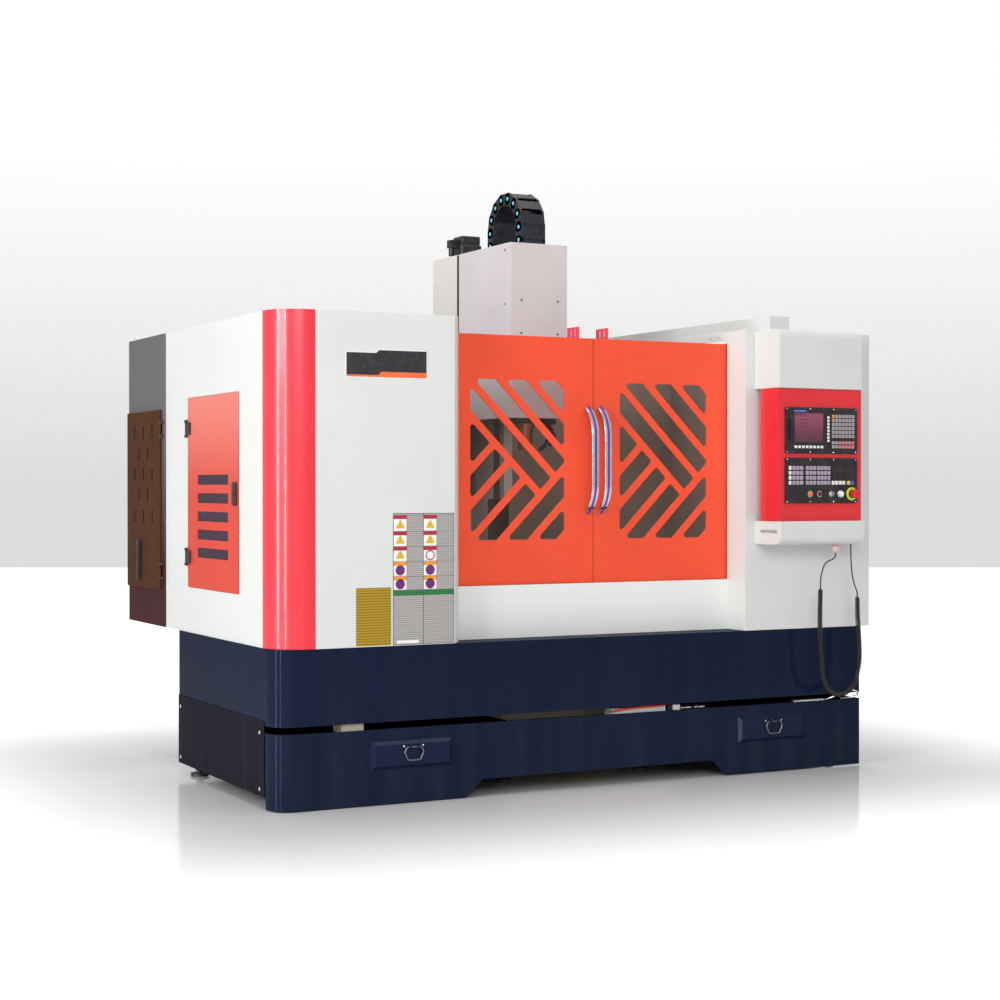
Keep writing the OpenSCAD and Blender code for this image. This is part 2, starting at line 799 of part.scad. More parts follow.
// Control unit's bezel, cut out for its screen
module cnc_unit() {
    color(black) from_datum() {
        difference() {
            unit_plate(unit_z, unit_h);
            slab([unit_x + 49, unit_x + 210], [unit_front - 1, unit_front + 4],
                [unit_z + 52, unit_z + 182]);
            slab([unit_x + 8, unit_x + 26], [unit_front - 1, unit_front + 6], [unit_z + 60, unit_z + 150]);
        }
        slab([unit_x + 16, unit_x + unit_w - 16], [pendant_front, pendant_front + 70],
            [unit_z + 16, unit_z + unit_h - 16]);
        screws_y([unit_x + 9, unit_x + unit_w / 2, unit_x + unit_w - 9],
            [unit_z + 7, unit_z + unit_h - 7], unit_front, 3, 1.5);
    }
}

module cnc_screen() {
    color([0.3, 0.12, 0.2]) from_datum()
        slab([unit_x + 49.2, unit_x + 209.8], [unit_front + 2, unit_front + 4],
            [unit_z + 52.2, unit_z + 181.8]);
}

// Places of the operator panel's switches, from its left edge
start_x = 134;
hold_x = 186;
key_x = 251;
override_x = 302;
estop_x = 366;

module operator_panel() {
    color(black) from_datum() {
        difference() {
            union() {
                unit_plate(panel_z, panel_h);
                for (x = [start_x, hold_x])
                    rod_y(unit_x + x, button_z, unit_front - 4, unit_front, button_r + 4);
                rod_y(unit_x + estop_x, button_z, unit_front - 6, unit_front, 28);
            }
            for (x = [start_x, hold_x])
                rod_y(unit_x + x, button_z, unit_front - 5, pendant_front + 1, button_r + running);
            rod_y(unit_x + estop_x, button_z, unit_front - 7, pendant_front + 1, 11 + running);
            for (x = [key_x, override_x])
                rod_y(unit_x + x, button_z, unit_front - 1, pendant_front + 1, 4 + running);
        }
    }
}

module key_block(x, z, cols, rows, pitch_x, pitch_z, w, h) {
    for (i = [0:cols - 1], j = [0:rows - 1])
        slab([unit_x + x + i * pitch_x, unit_x + x + i * pitch_x + w], [unit_front - 2, unit_front],
            [z - j * pitch_z - h, z - j * pitch_z]);
}

// Flat keys of both instruments
module panel_keys() {
    color([0.85, 0.85, 0.83]) from_datum() {
        key_block(49, unit_z + 36, 8, 1, 20.5, 14, 15, 12);
        key_block(234, unit_z + 178, 1, 8, 14, 15, 12, 10);
        key_block(256, unit_z + 181, 7, 6, 19, 19.5, 15, 15);
        key_block(256, unit_z + 60, 7, 2, 19, 18, 15, 13);
        key_block(20, panel_z + 190, 1, 4, 20, 26, 15, 18);
        for (x = [48, 118, 188]) key_block(x, panel_z + 190, 3, 4, 20, 26, 16, 20);
        key_block(262, panel_z + 190, 3, 4, 20, 26, 16, 20);
    }
}

module push_button(x) {
    rod_y(unit_x + x, button_z, unit_front - 4 - button_travel - 2, pendant_front + 12, button_r);
}

module start_button() {
    color("orange") from_datum() push_button(start_x);
}

module hold_button() {
    color([0.55, 0.08, 0.08]) from_datum() push_button(hold_x);
}

module estop_button() {
    color("red") from_datum() {
        rod_y(unit_x + estop_x, button_z, unit_front - 20, pendant_front + 12, 11);
        translate([unit_x + estop_x, unit_front - 14, button_z]) rotate([90, 0, 0]) rotate_extrude() {
            square([mushroom_r, estop_reach - 20]);
            square([mushroom_r - 6, estop_reach - 14]);
            translate([mushroom_r - 6, estop_reach - 20]) circle(6);
        }
    }
}

module knob(x, r, h, grip) {
    rod_y(unit_x + x, button_z, unit_front - 2, pendant_front + 12, 4);
    rod_y(unit_x + x, button_z, unit_front - 2 - h, unit_front - 1, r);
    slab([unit_x + x - 2, unit_x + x + 2], [unit_front - 2 - h - grip, unit_front - 2 - h],
        [button_z - r + 1, button_z + r - 1]);
}

module override_knob() {
    color(white) from_datum() knob(override_x, 13, 12, 3);
}

module key_switch() {
    color(steel) from_datum() knob(key_x, 9, 6, 14);
}

// Bare rating and chart plates on the left front block
module front_plates() {
    t = 1.5;
    edge = block_r - block_bevel - 5;
    name_inset = 488;
    name_x = edge - name_inset;
    color([0.75, 0.73, 0.6]) from_datum() {
        run_y(-t, 0) translate([name_x, deck_z + 1094])
            polygon([[0, 0], [366, 0], [366, 106], [254, 106], [242, 118], [0, 118]]);
        slab([edge - 442, edge - 287], [-t, 0], [deck_z + 4, deck_z + 240]);
        slab([edge - 278, edge], [-t, 0], [deck_z + 3, deck_z + 543]);
    }
}

// ---- Motors, conduit and cord ----

module z_motor() {
    half = motor_w / 2;
    color(black) from_datum() difference() {
        union() {
            slab([mid_x - half, mid_x + half], [screw_y - half, screw_y + half], [column_top, motor_top]);
            slab([mid_x - half - 36, mid_x - half], [screw_y - 20, screw_y + 20],
                [motor_top - 60, motor_top - 20]);
        }
        translate([mid_x, screw_y, column_top - 1]) cylinder(h = 31, r = screw_r + running);
    }
}

module conduit() {
    r = 11;
    color(steel) from_datum() rod_x(24, tank_lid_z + r, base_w - 365, base_w - 194, r);
}

function unit(v) = v / norm(v);
function mix(a, b, t) = a + (b - a) * t;
// Points along a smooth curve through the route, a few on each stretch
function smooth(p, n) = [
    for (i = [0:len(p) - 2], k = [0:n - 1])
        let (a = p[max(i - 1, 0)], b = p[i], c = p[i + 1], d = p[min(i + 2, len(p) - 1)], t = k / n)
        0.5 * (2 * b + (c - a) * t + (2 * a - 5 * b + 4 * c - d) * t * t
            + (3 * b - 3 * c + d - a) * t * t * t),
    p[len(p) - 1]
];
// Ring of points round one place of a route that stays in an upright plane
function ring(p, i, r, sides) =
    let (a = p[max(i - 1, 0)], b = p[min(i + 1, len(p) - 1)], t = unit(b - a), u = [0, 1, 0],
        v = cross(t, u))
    [for (k = [0:sides - 1]) p[i] + r * (cos(360 * k / sides) * u + sin(360 * k / sides) * v)];

module tube(route, r, sides) {
    n = len(route);
    points = [for (i = [0:n - 1]) each ring(route, i, r, sides)];
    walls = [for (i = [0:n - 2], k = [0:sides - 1])
        [i * sides + k, i * sides + (k + 1) % sides, (i + 1) * sides + (k + 1) % sides,
            (i + 1) * sides + k]];
    polyhedron(points, concat([[for (k = [sides - 1:-1:0]) k]], walls,
        [[for (k = [0:sides - 1]) (n - 1) * sides + k]]));
}

cord_y = (pendant_front + pendant_back) / 2;
plug_x = pendant_x + 372;
plug_bottom = shelf_z - 42;
// Routes as X from the pendant's left side and Z from the shelf; they lie in the plane at cord_y
lead_in = [[372, -42], [371, -58], [355, -72], [332, -80], [309, -97], [293, -137], [287, -172],
    [287, -204]];
coil_route = [[287, -204], [284, -302], [284, -402], [289, -502], [301, -602], [329, -664], [387, -692],
    [449, -676], [489, -622], [509, -542], [507, -442], [499, -342], [497, -245]];
lead_out = [[497, -245], [495, -222], [481, -192], [467, -142], [461, -82], [459, 0]];
function at_plane(route) = [for (p = route) [pendant_x + p[0], cord_y, shelf_z + p[1]]];

module cord_plug() {
    color([0.85, 0.72, 0.7]) from_datum() {
        translate([plug_x, cord_y, plug_bottom]) cylinder(h = shelf_z - plug_bottom, r = 15);
        translate([plug_x, cord_y, plug_bottom + 10]) cylinder(h = 22, r = 22);
    }
}

module cord_leads() {
    color([0.2, 0.16, 0.16]) from_datum() {
        tube(smooth(at_plane(lead_in), 2), lead_r, 8);
        tube(smooth(at_plane(lead_out), 2), lead_r, 8);
    }
}

module cord_coil() {
    color([0.2, 0.16, 0.16]) from_datum() tube(smooth(at_plane(coil_route), 2), coil_r, 10);
}

// ---- Saddle and table ----

// Screw shaft along X with its two bearing journals
module x_screw() {
    color(steel) from_datum() rod_x(spindle_y, x_screw_z, mid_x - table_w / 2 + 4,
        mid_x + table_w / 2 + 30, screw_r);
}

module saddle() {
    x_way = 60;
    half = 330;
    color([0.55, 0.55, 0.53]) from_datum() difference() {
        union() {
            slab([mid_x - half, mid_x + half], [spindle_y - table_d / 2, table_back],
                [saddle_z, saddle_z + saddle_t]);
            for (s = [-1, 1])
                slab([mid_x - half, mid_x + half],
                    [spindle_y + s * 150 - x_way / 2, spindle_y + s * 150 + x_way / 2],
                    [saddle_z + saddle_t, saddle_z + saddle_t + x_way_h]);
            slab([mid_x - 45, mid_x + 45], [spindle_y - 45, spindle_y + 45],
                [saddle_z + saddle_t, table_z - 4]);
            slab([mid_x - 40, mid_x + 40], [spindle_y - 60, spindle_y + 60], [bed_top - 22, saddle_z]);
        }
        rod_x(spindle_y, x_screw_z, mid_x - half - 1, mid_x + half + 1, screw_r + running);
        rod_y(mid_x, y_screw_z, spindle_y - 61, spindle_y + 61, screw_r + running);
    }
}

// Table with tee slots; the screw hangs in a groove below it, between two bearings
module table() {
    x = [mid_x - table_w / 2, mid_x + table_w / 2];
    top = table_z + table_t;
    color(steel) from_datum() difference() {
        union() {
            slab(x, [spindle_y - table_d / 2, table_back], [table_z, top]);
            for (end = [x[0], x[1] - 30])
                slab([end, end + 30], [spindle_y - 40, spindle_y + 40], [x_screw_z - 24, table_z]);
        }
        slab([x[0] + 30, x[1] - 30], [spindle_y - 50, spindle_y + 50], [table_z - 1, table_z + 6]);
        for (i = [-1.5:1:1.5]) {
            slab([x[0] - 1, x[1] + 1], [spindle_y + i * 100 - 9, spindle_y + i * 100 + 9],
                [top - 34, top + 1]);
            slab([x[0] - 1, x[1] + 1], [spindle_y + i * 100 - 15, spindle_y + i * 100 + 15],
                [top - 34, top - 20]);
        }
        rod_x(spindle_y, x_screw_z, x[0] - 1, x[1] + 1, screw_r + running);
    }
}

module x_motor() {
    x = mid_x + table_w / 2;
    color(black) from_datum() difference() {
        slab([x, x + 40], [spindle_y - 34, spindle_y + 34], [x_screw_z - 34, x_screw_z + 34]);
        rod_x(spindle_y, x_screw_z, x - 1, x + 32, screw_r + running);
    }
}

module y_screw() {
    color(steel) from_datum() rod_y(mid_x, y_screw_z, y_bearing + 4, column_y + 46, screw_r);
}

// ---- Head ----

module z_screw() {
    color(steel) from_datum() translate([mid_x, screw_y, screw_low_z + slide_gap])
        cylinder(h = column_top + 28 - screw_low_z, r = screw_r);
}

module head_casting() {
    half = head_w / 2 - 8;
    color([0.5, 0.48, 0.46]) from_datum() difference() {
        union() {
            slab([mid_x - half, mid_x + half], [cover_y + 10, head_back], [cover_z + 4, casting_top]);
            translate([mid_x, spindle_y, cover_z - 22]) cylinder(h = 30, r = 70);
            slab([mid_x - 40, mid_x + 40], [head_back - 1, screw_y + 40], [z_nut_z, z_nut_z + nut_h]);
            translate([mid_x, spindle_y, casting_top]) cylinder(h = 170, r = 95);
        }
        translate([mid_x, spindle_y, cover_z - 23]) cylinder(h = 240, r = spindle_r + 10 + running);
        translate([mid_x, screw_y, z_nut_z - 1]) cylinder(h = nut_h + 2, r = screw_r + running);
    }
}

// Sheet-metal cover of the head, open at the back and slotted at the top for the chain
module head_cover() {
    half = head_w / 2;
    t = 3;
    lid_z = [column_top - t - 1, column_top + 1];
    rail_y = [cover_y + 60, cover_y + 400];
    rail_z = [cover_z + 80, cover_z + 230];
    color(white) from_datum() {
        difference() {
            slab([mid_x - half, mid_x + half], [cover_y, cover_back], [cover_z, column_top]);
            slab([mid_x - half + t, mid_x + half - t], [cover_y + t, cover_back + 1],
                [cover_z - 1, column_top - t]);
            slab([mid_x - 50, mid_x + half - t], [chain_y - bend_r - link_h / 2 - 10, cover_back + 1],
                lid_z);
            slab([mid_x - half + t, mid_x + half - t], [column_y - z_way_d - door_gap, cover_back + 1],
                lid_z);
        }
        for (x = [mid_x - half + t, mid_x + half - 8])
            slab([x, x + 5], rail_y, rail_z);
    }
}

module spindle() {
    color(chrome) from_datum() {
        translate([mid_x, spindle_y, spindle_z]) cylinder(h = 110, r = spindle_r);
        translate([mid_x, spindle_y, spindle_z + 100]) cylinder(h = 250, r = spindle_r + 10);
    }
}

// ---- Drag chain ----

// One link: two eight-cornered side plates joined by a crossbar above and one below
module chain_link() {
    plate = 12;
    x = [chain_x - chain_w / 2, chain_x + chain_w / 2];
    half = link_h / 2;
    reach = link_pitch / 2 + half * 0.8;
    for (s = [x[0], x[1] - plate]) run_x(s, s + plate) polygon([
        [-half, -reach + 16], [-half + 16, -reach], [half - 16, -reach], [half, -reach + 16],
        [half, reach - 16], [half - 16, reach], [-half + 16, reach], [-half, reach - 16]
    ]);
    for (y = [-half, half - 6]) slab([x[0] + plate, x[1] - plate], [y, y + 6], [-14, 14]);
}

module chain_loop() {
    step = 2 * asin(link_pitch / 2 / bend_r);
    mid_r = bend_r * cos(step / 2);
    color(black) from_datum() translate([0, chain_y, chain_z]) {
        for (i = [-3:3]) rotate([i * step, 0, 0]) translate([0, 0, mid_r]) rotate([90, 0, 0]) chain_link();
        for (y = [-bend_r, bend_r], i = [0:chain_drop / link_pitch - 1])
            translate([0, y, -link_pitch * (i + 0.5)]) chain_link();
    }
}

// ---- Sliding doors ----

// Slanting bar, rising to the right where up is 1 and falling where it is -1
module rib(offset, up) {
    length = 2 * window_h;
    translate([0, window_h - offset]) rotate(up * 45)
        translate([-length, -rib_w / 2]) square([2 * length, rib_w]);
}

// Half of the window's plane on one side of a slanting line
module side_of(offset, up, above) {
    length = 3 * window_h;
    translate([0, window_h - offset]) rotate(up * 45)
        translate([-length, above ? 0 : -length]) square([2 * length, length]);
}

// Window opening with its two right-hand corners cut off
module window_shape() {
    cut = 40;
    polygon([[0, 0], [window_w - cut, 0], [window_w, cut], [window_w, window_h - cut],
        [window_w - cut, window_h], [0, window_h]]);
}

// Openings that the slanting bars leave in a window
module window_openings() {
    long_bar = 842;
    low_bar = 155;
    difference() {
        window_shape();
        for (i = [0:3]) intersection() {
            rib(low_bar - i * rib_pitch, -1);
            side_of(long_bar, 1, true);
        }
        for (i = [1:3]) intersection() {
            rib(long_bar - i * rib_pitch, 1);
            side_of(low_bar, -1, false);
        }
        rib(long_bar, 1);
        rib(long_bar + rib_pitch, 1);
    }
}

// Sliding door: front plate with its ribbed window, folded frame and interlock tab
module door(x0, window_x, tab_x) {
    skin = 6;
    frame = 22;
    tab = 6;
    difference() {
        slab([x0, x0 + door_w], [door_y, door_back], [door_z, door_top]);
        slab([x0 + frame, x0 + door_w - frame], [door_y + skin, door_back + 1],
            [door_z + frame, door_top - frame]);
        run_y(door_y - 1, door_y + skin + 1) translate([window_x, door_z + window_z]) window_openings();
    }
    difference() {
        slab([tab_x, tab_x + tab], [door_y, door_y + 100], [door_top, door_top + 50]);
        for (y = [28, 62]) slab([tab_x - 1, tab_x + tab + 1], [door_y + y, door_y + y + 12],
            [door_top + 10, door_top + 42]);
    }
}

module pane(window_x) {
    lap = 14;
    slab([window_x - lap, window_x + window_w + lap], [door_y + 6, door_y + 12],
        [door_z + window_z - lap, door_z + window_z + window_h + lap]);
}

// Bowed flat bar, as a profile in Y and Z with its straight middle centred at zero height
module handle_profile() {
    rise = (handle_h - handle_grip) / 2;
    r = (rise * rise + handle_reach * handle_reach) / (2 * handle_reach);
    translate([-handle_reach, -handle_grip / 2]) square([handle_t, handle_grip]);
    for (s = [-1, 1]) intersection() {
        translate([r - handle_reach, s * handle_grip / 2]) difference() {
            circle(r, $fn = 96);
            circle(r - handle_t, $fn = 96);
        }
        translate([-handle_reach, s > 0 ? handle_grip / 2 : -handle_h / 2 - 20])
            square([handle_reach, rise + 20]);
    }
}

module handle(x) {
    color(chrome) from_datum()
        run_x(x - handle_w / 2, x + handle_w / 2) translate([door_y, door_z + 541]) handle_profile();
}

left_door_x = mid_x - seam / 2 - door_w;
right_door_x = mid_x + seam / 2;
left_window_x = left_door_x + window_side;
right_window_x = right_door_x + window_side + 6;

module left_door() {
    color(red) from_datum() door(left_door_x, left_window_x, mid_x - 76);
}

module left_window() {
    color([0.4, 0.35, 0.33, 0.4]) from_datum() pane(left_window_x);
}

module left_handle() {
    handle(mid_x - 29);
}

module right_door() {
    color(red) from_datum() door(right_door_x, right_window_x, mid_x + 72);
}

module right_window() {
    color([0.4, 0.35, 0.33, 0.4]) from_datum() pane(right_window_x);
}

module right_handle() {
    handle(mid_x + 36);
}

// ---- Side door ----

// Hinged door on the left side, with five vents and its two hinges
module side_door() {
    y1 = side_door_y + side_door_w;
    z1 = side_door_z + side_door_h;
    t = 18;
    vent_y = side_door_y + 129;
    color(red) from_datum() {
        difference() {
            slab([2, 2 + t], [side_door_y, y1], [side_door_z, z1]);
            slab([2 + 3, 2 + t + 1], [side_door_y + 20, y1 - 20], [side_door_z + 20, z1 - 20]);
            for (i = [0:4]) translate([1, vent_y, side_door_z + 136 + i * vent_pitch])
                cube([5, vent_w, 43]);
        }
        for (z = side_hinge_z) {
            slab([side_hinge_x - 3, 2], [y1 - 44, y1 - 2], [z - hinge_half, z + hinge_half]);
            hinge_barrel(side_hinge_x, side_hinge_y, z);
            slab([side_hinge_x - 3, side_hinge_x + 3], [y1 - 10, side_hinge_y],
                [z - hinge_half, z + hinge_half]);
        }
    }
}

module side_latch() {
    y = side_door_y + 30;
    z = side_door_z + 418;
    color(black) from_datum() {
        slab([-12, 2 - running], [y - 17, y + 17], [z - 49, z + 49]);
        rod_x(y, z, -15, -12, 11);
    }
}

// ---- Drawers ----

// Plate whose four front edges are bevelled
module bevelled_front(x0) {
    t = drawer_front_t;
    b = drawer_bevel;
    back = -slide_gap;
    intersection() {
        translate([0, 0, drawer_z]) linear_extrude(drawer_h) polygon([
            [x0, back], [x0 + drawer_w, back], [x0 + drawer_w - b, back - t], [x0 + b, back - t]
        ]);
        run_x(x0, x0 + drawer_w) polygon([
            [back, drawer_z], [back, drawer_z + drawer_h], [back - t, drawer_z + drawer_h - b],
                [back - t, drawer_z + b]
        ]);
    }
}

pull_out = 9;

// Strainer drawer with its front, its tray and the bracket of its pull
module drawer(x0) {
    t = 3;
    x = [x0 + drawer_bevel, x0 + drawer_w - drawer_bevel];
    z = [drawer_z + 10, drawer_z + drawer_h - 10];
    face = -slide_gap - drawer_front_t;
    cx = x0 + drawer_w / 2;
    pivot_z = drawer_z + drawer_h - 26;
    bevelled_front(x0);
    difference() {
        slab(x, [-slide_gap, drawer_d], z);
        slab([x[0] + t, x[1] - t], [-slide_gap + t, drawer_d - t], [z[0] + t, z[1] + 1]);
    }
    difference() {
        union() {
            slab([cx - 52, cx + 52], [face - 3, face], [pivot_z - 8, pivot_z + 12]);
            for (s = [-1, 1]) slab([cx + s * 18 - 4, cx + s * 18 + 4], [face - pull_out - 7, face],
                [pivot_z - 7, pivot_z + 9]);
        }
        rod_x(face - pull_out, pivot_z, cx - 60, cx + 60, pull_rod / 2 + running);
    }
}

// Six-sided drop pull on its round pivot bar
module pull(x0) {
    t = pull_rod;
    w = pull_w / 2;
    h = pull_h;
    cx = x0 + drawer_w / 2;
    face = -slide_gap - drawer_front_t;
    axis_y = face - pull_out;
    pivot_z = drawer_z + drawer_h - 26;
    translate([cx, 0, pivot_z]) {
        run_y(axis_y - t / 2, axis_y + t / 2) difference() {
            polygon([[-w + 12, 0], [w - 12, 0], [w, -h * 0.4], [w - 16, -h], [-w + 16, -h],
                [-w, -h * 0.4]]);
            polygon([[-w + 21, 1], [w - 21, 1], [w - 9, -h * 0.4], [w - 21, -h + t], [-w + 21, -h + t],
                [-w + 9, -h * 0.4]]);
        }
        rod_x(axis_y, 0, -w + 12, w - 12, t / 2);
    }
}

module left_drawer() {
    color(navy) from_datum() drawer(drawer_left_x);
}

module left_pull() {
    color(steel) from_datum() pull(drawer_left_x);
}

module right_drawer() {
    color(navy) from_datum() drawer(drawer_right_x);
}

module right_pull() {
    color(steel) from_datum() pull(drawer_right_x);
}

levelling_feet();
coolant_tank();
tank_fascia();
tank_side_covers();
base_skirt();
machine_bed();
column();
chamber_liner();
left_front_panel();
corner_column();
left_side_panel();
rear_panels();
right_front_panel();
right_side_panel();
sill_panel();
top_beam();
electrical_cabinet();
cabinet_gear();
pendant_hood();
pendant_body();
pendant_shelf();
cnc_unit();
cnc_screen();
operator_panel();
panel_keys();
front_plates();
z_motor();
conduit();
cord_plug();
cord_leads();
cord_coil();
saddle();
table();
x_motor();
x_screw();
y_screw();
z_screw();
head_casting();
head_cover();
spindle();
chain_loop();
left_door();
left_window();
left_handle();
right_door();
right_window();
right_handle();
side_door();
side_latch();
cabinet_door();
cabinet_handle();
left_drawer();
left_pull();
right_drawer();
right_pull();
estop_button();
start_button();
hold_button();
override_knob();
key_switch();
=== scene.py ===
"""Looks of a CNC bed milling machine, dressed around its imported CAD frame.

Each sub-assembly is a class that holds its own sizes, builds its pieces and dresses them with
finishes. Lengths are in metres in the frame's own axes: +X along the machine towards the pendant's
end, +Y from the doors towards the column, +Z up.
"""

import json
import logging
import math
from collections.abc import Callable, Iterable, Sequence
from dataclasses import dataclass
from enum import Enum

import bpy
from mathutils import Matrix, Vector


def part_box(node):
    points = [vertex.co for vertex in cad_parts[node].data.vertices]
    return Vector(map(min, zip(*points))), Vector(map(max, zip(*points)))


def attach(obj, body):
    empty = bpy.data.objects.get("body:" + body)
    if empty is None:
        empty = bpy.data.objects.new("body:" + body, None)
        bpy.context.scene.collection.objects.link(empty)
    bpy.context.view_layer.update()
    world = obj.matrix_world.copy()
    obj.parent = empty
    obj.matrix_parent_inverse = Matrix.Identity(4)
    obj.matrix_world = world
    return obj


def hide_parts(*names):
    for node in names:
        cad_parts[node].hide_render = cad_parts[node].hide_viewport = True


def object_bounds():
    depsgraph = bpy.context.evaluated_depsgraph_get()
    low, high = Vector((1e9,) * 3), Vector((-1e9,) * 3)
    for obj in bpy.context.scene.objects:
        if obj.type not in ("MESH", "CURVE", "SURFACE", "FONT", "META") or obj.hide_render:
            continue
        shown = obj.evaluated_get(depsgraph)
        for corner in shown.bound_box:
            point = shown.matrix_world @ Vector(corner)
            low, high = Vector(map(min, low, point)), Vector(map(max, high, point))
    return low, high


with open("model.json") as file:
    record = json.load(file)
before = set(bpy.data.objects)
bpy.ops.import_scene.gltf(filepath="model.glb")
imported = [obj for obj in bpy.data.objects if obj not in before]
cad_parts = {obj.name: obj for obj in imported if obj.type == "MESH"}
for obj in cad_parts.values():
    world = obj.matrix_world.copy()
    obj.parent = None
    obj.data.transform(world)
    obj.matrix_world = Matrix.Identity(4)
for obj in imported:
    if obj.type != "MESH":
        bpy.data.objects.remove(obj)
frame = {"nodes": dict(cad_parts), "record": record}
CAD_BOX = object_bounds()

log = logging.getLogger("milling_machine")
Colour = tuple[float, float, float]
Point = tuple[float, float, float]
Pair = tuple[float, float]
Place = Sequence[float]
Line = Sequence[Place]
Rows = Sequence[Sequence[float]]
Outline = Sequence[Pair]
Piece = bpy.types.Object
Socket = bpy.types.NodeSocket
Test = Callable[[Vector, Vector], bool]
WHITE = (1.0, 1.0, 1.0, 1.0)
DUST = (0.4, 0.37, 0.34)


class Axis(Enum):
    """A direction that a part can lie along."""

    X = 0
    Y = 1
    Z = 2


class Side(Enum):
    """Left or right of the machine's centre plane, seen from the doors."""

    LEFT = -1
    RIGHT = 1


def srgb(red: int, green: int, blue: int) -> Colour:
    """Turns a display colour into the linear colour that a shader takes.

    Args:
        red: Red, 0 to 255.
        green: Green, 0 to 255.
        blue: Blue, 0 to 255.

    Returns:
        The linear colour.
    """

    def linear(level: int) -> float:
        """Linear value of one display level."""
        share = level / 255
        return share / 12.92 if share <= 0.04045 else ((share + 0.055) / 1.055) ** 2.4

    return linear(red), linear(green), linear(blue)


# ---------------------------------------------------------------------------------------------
# Shader graphs
# ---------------------------------------------------------------------------------------------


class Value:
    """A number that varies over a surface; arithmetic on it adds Math nodes."""

    def __init__(self, graph: "Graph", socket: Socket) -> None:
        """Wraps a socket of a graph."""
        self.graph = graph
        self.socket = socket

    def _math(self, operation: str, first: "Value | float", second: "Value | float") -> "Value":
        """Adds a Math node for one operation on two operands."""
        node = self.graph.node("ShaderNodeMath", {"operation": operation}, {0: first, 1: second})
        return Value(self.graph, node.outputs[0])

    def __add__(self, other: "Value | float") -> "Value":
        """Sum."""
        return self._math("ADD", self, other)

    __radd__ = __add__

    def __sub__(self, other: "Value | float") -> "Value":
        """Difference."""
        return self._math("SUBTRACT", self, other)

    def __rsub__(self, other: "Value | float") -> "Value":
        """Difference with the operands the other way round."""
        return self._math("SUBTRACT", other, self)

    def __mul__(self, other: "Value | float") -> "Value":
        """Product."""
        return self._math("MULTIPLY", self, other)

    __rmul__ = __mul__

    def __pow__(self, other: "Value | float") -> "Value":
        """Power."""
        return self._math("POWER", self, other)

    def size(self) -> "Value":
        """Absolute value."""
        return self._math("ABSOLUTE", self, 0.0)

    def positive(self) -> "Value":
        """The value where it is over 0, else 0."""
        return self._math("MAXIMUM", self, 0.0)

    def above(self, limit: "Value | float") -> "Value":
        """1 where the value is over a limit, else 0."""
        return self._math("GREATER_THAN", self, limit)

    def ramp(self, low: float, high: float) -> "Value":
        """Rises smoothly from 0 at low to 1 at high."""
        limits = {"Value": self, "From Min": low, "From Max": high}
        node = self.graph.node("ShaderNodeMapRange", {"interpolation_type": "SMOOTHSTEP"}, limits)
        return Value(self.graph, node.outputs["Result"])


class Tree:
    """A node tree that is wired from code."""

    def __init__(self, tree: bpy.types.NodeTree) -> None:
        """Takes a tree and empties it.

        Args:
            tree: The tree.
        """
        self.tree = tree
        tree.nodes.clear()

    def node(self, kind: str, settings: dict | None = None, inputs: dict | None = None) -> bpy.types.Node:
        """Adds a node.

        Args:
            kind: The node's type.
            settings: Properties, which are set first.
            inputs: Values or links for its sockets, by name or number.

        Returns:
            The node.
        """
        made = self.tree.nodes.new(kind)
        for key, setting in (settings or {}).items():
            setattr(made, key, setting)
        for key, given in (inputs or {}).items():
            socket = made.inputs[key]
            link = given.socket if isinstance(given, Value) else given
            if isinstance(link, Socket):
                self.tree.links.new(link, socket)
            else:
                socket.default_value = link
        return made


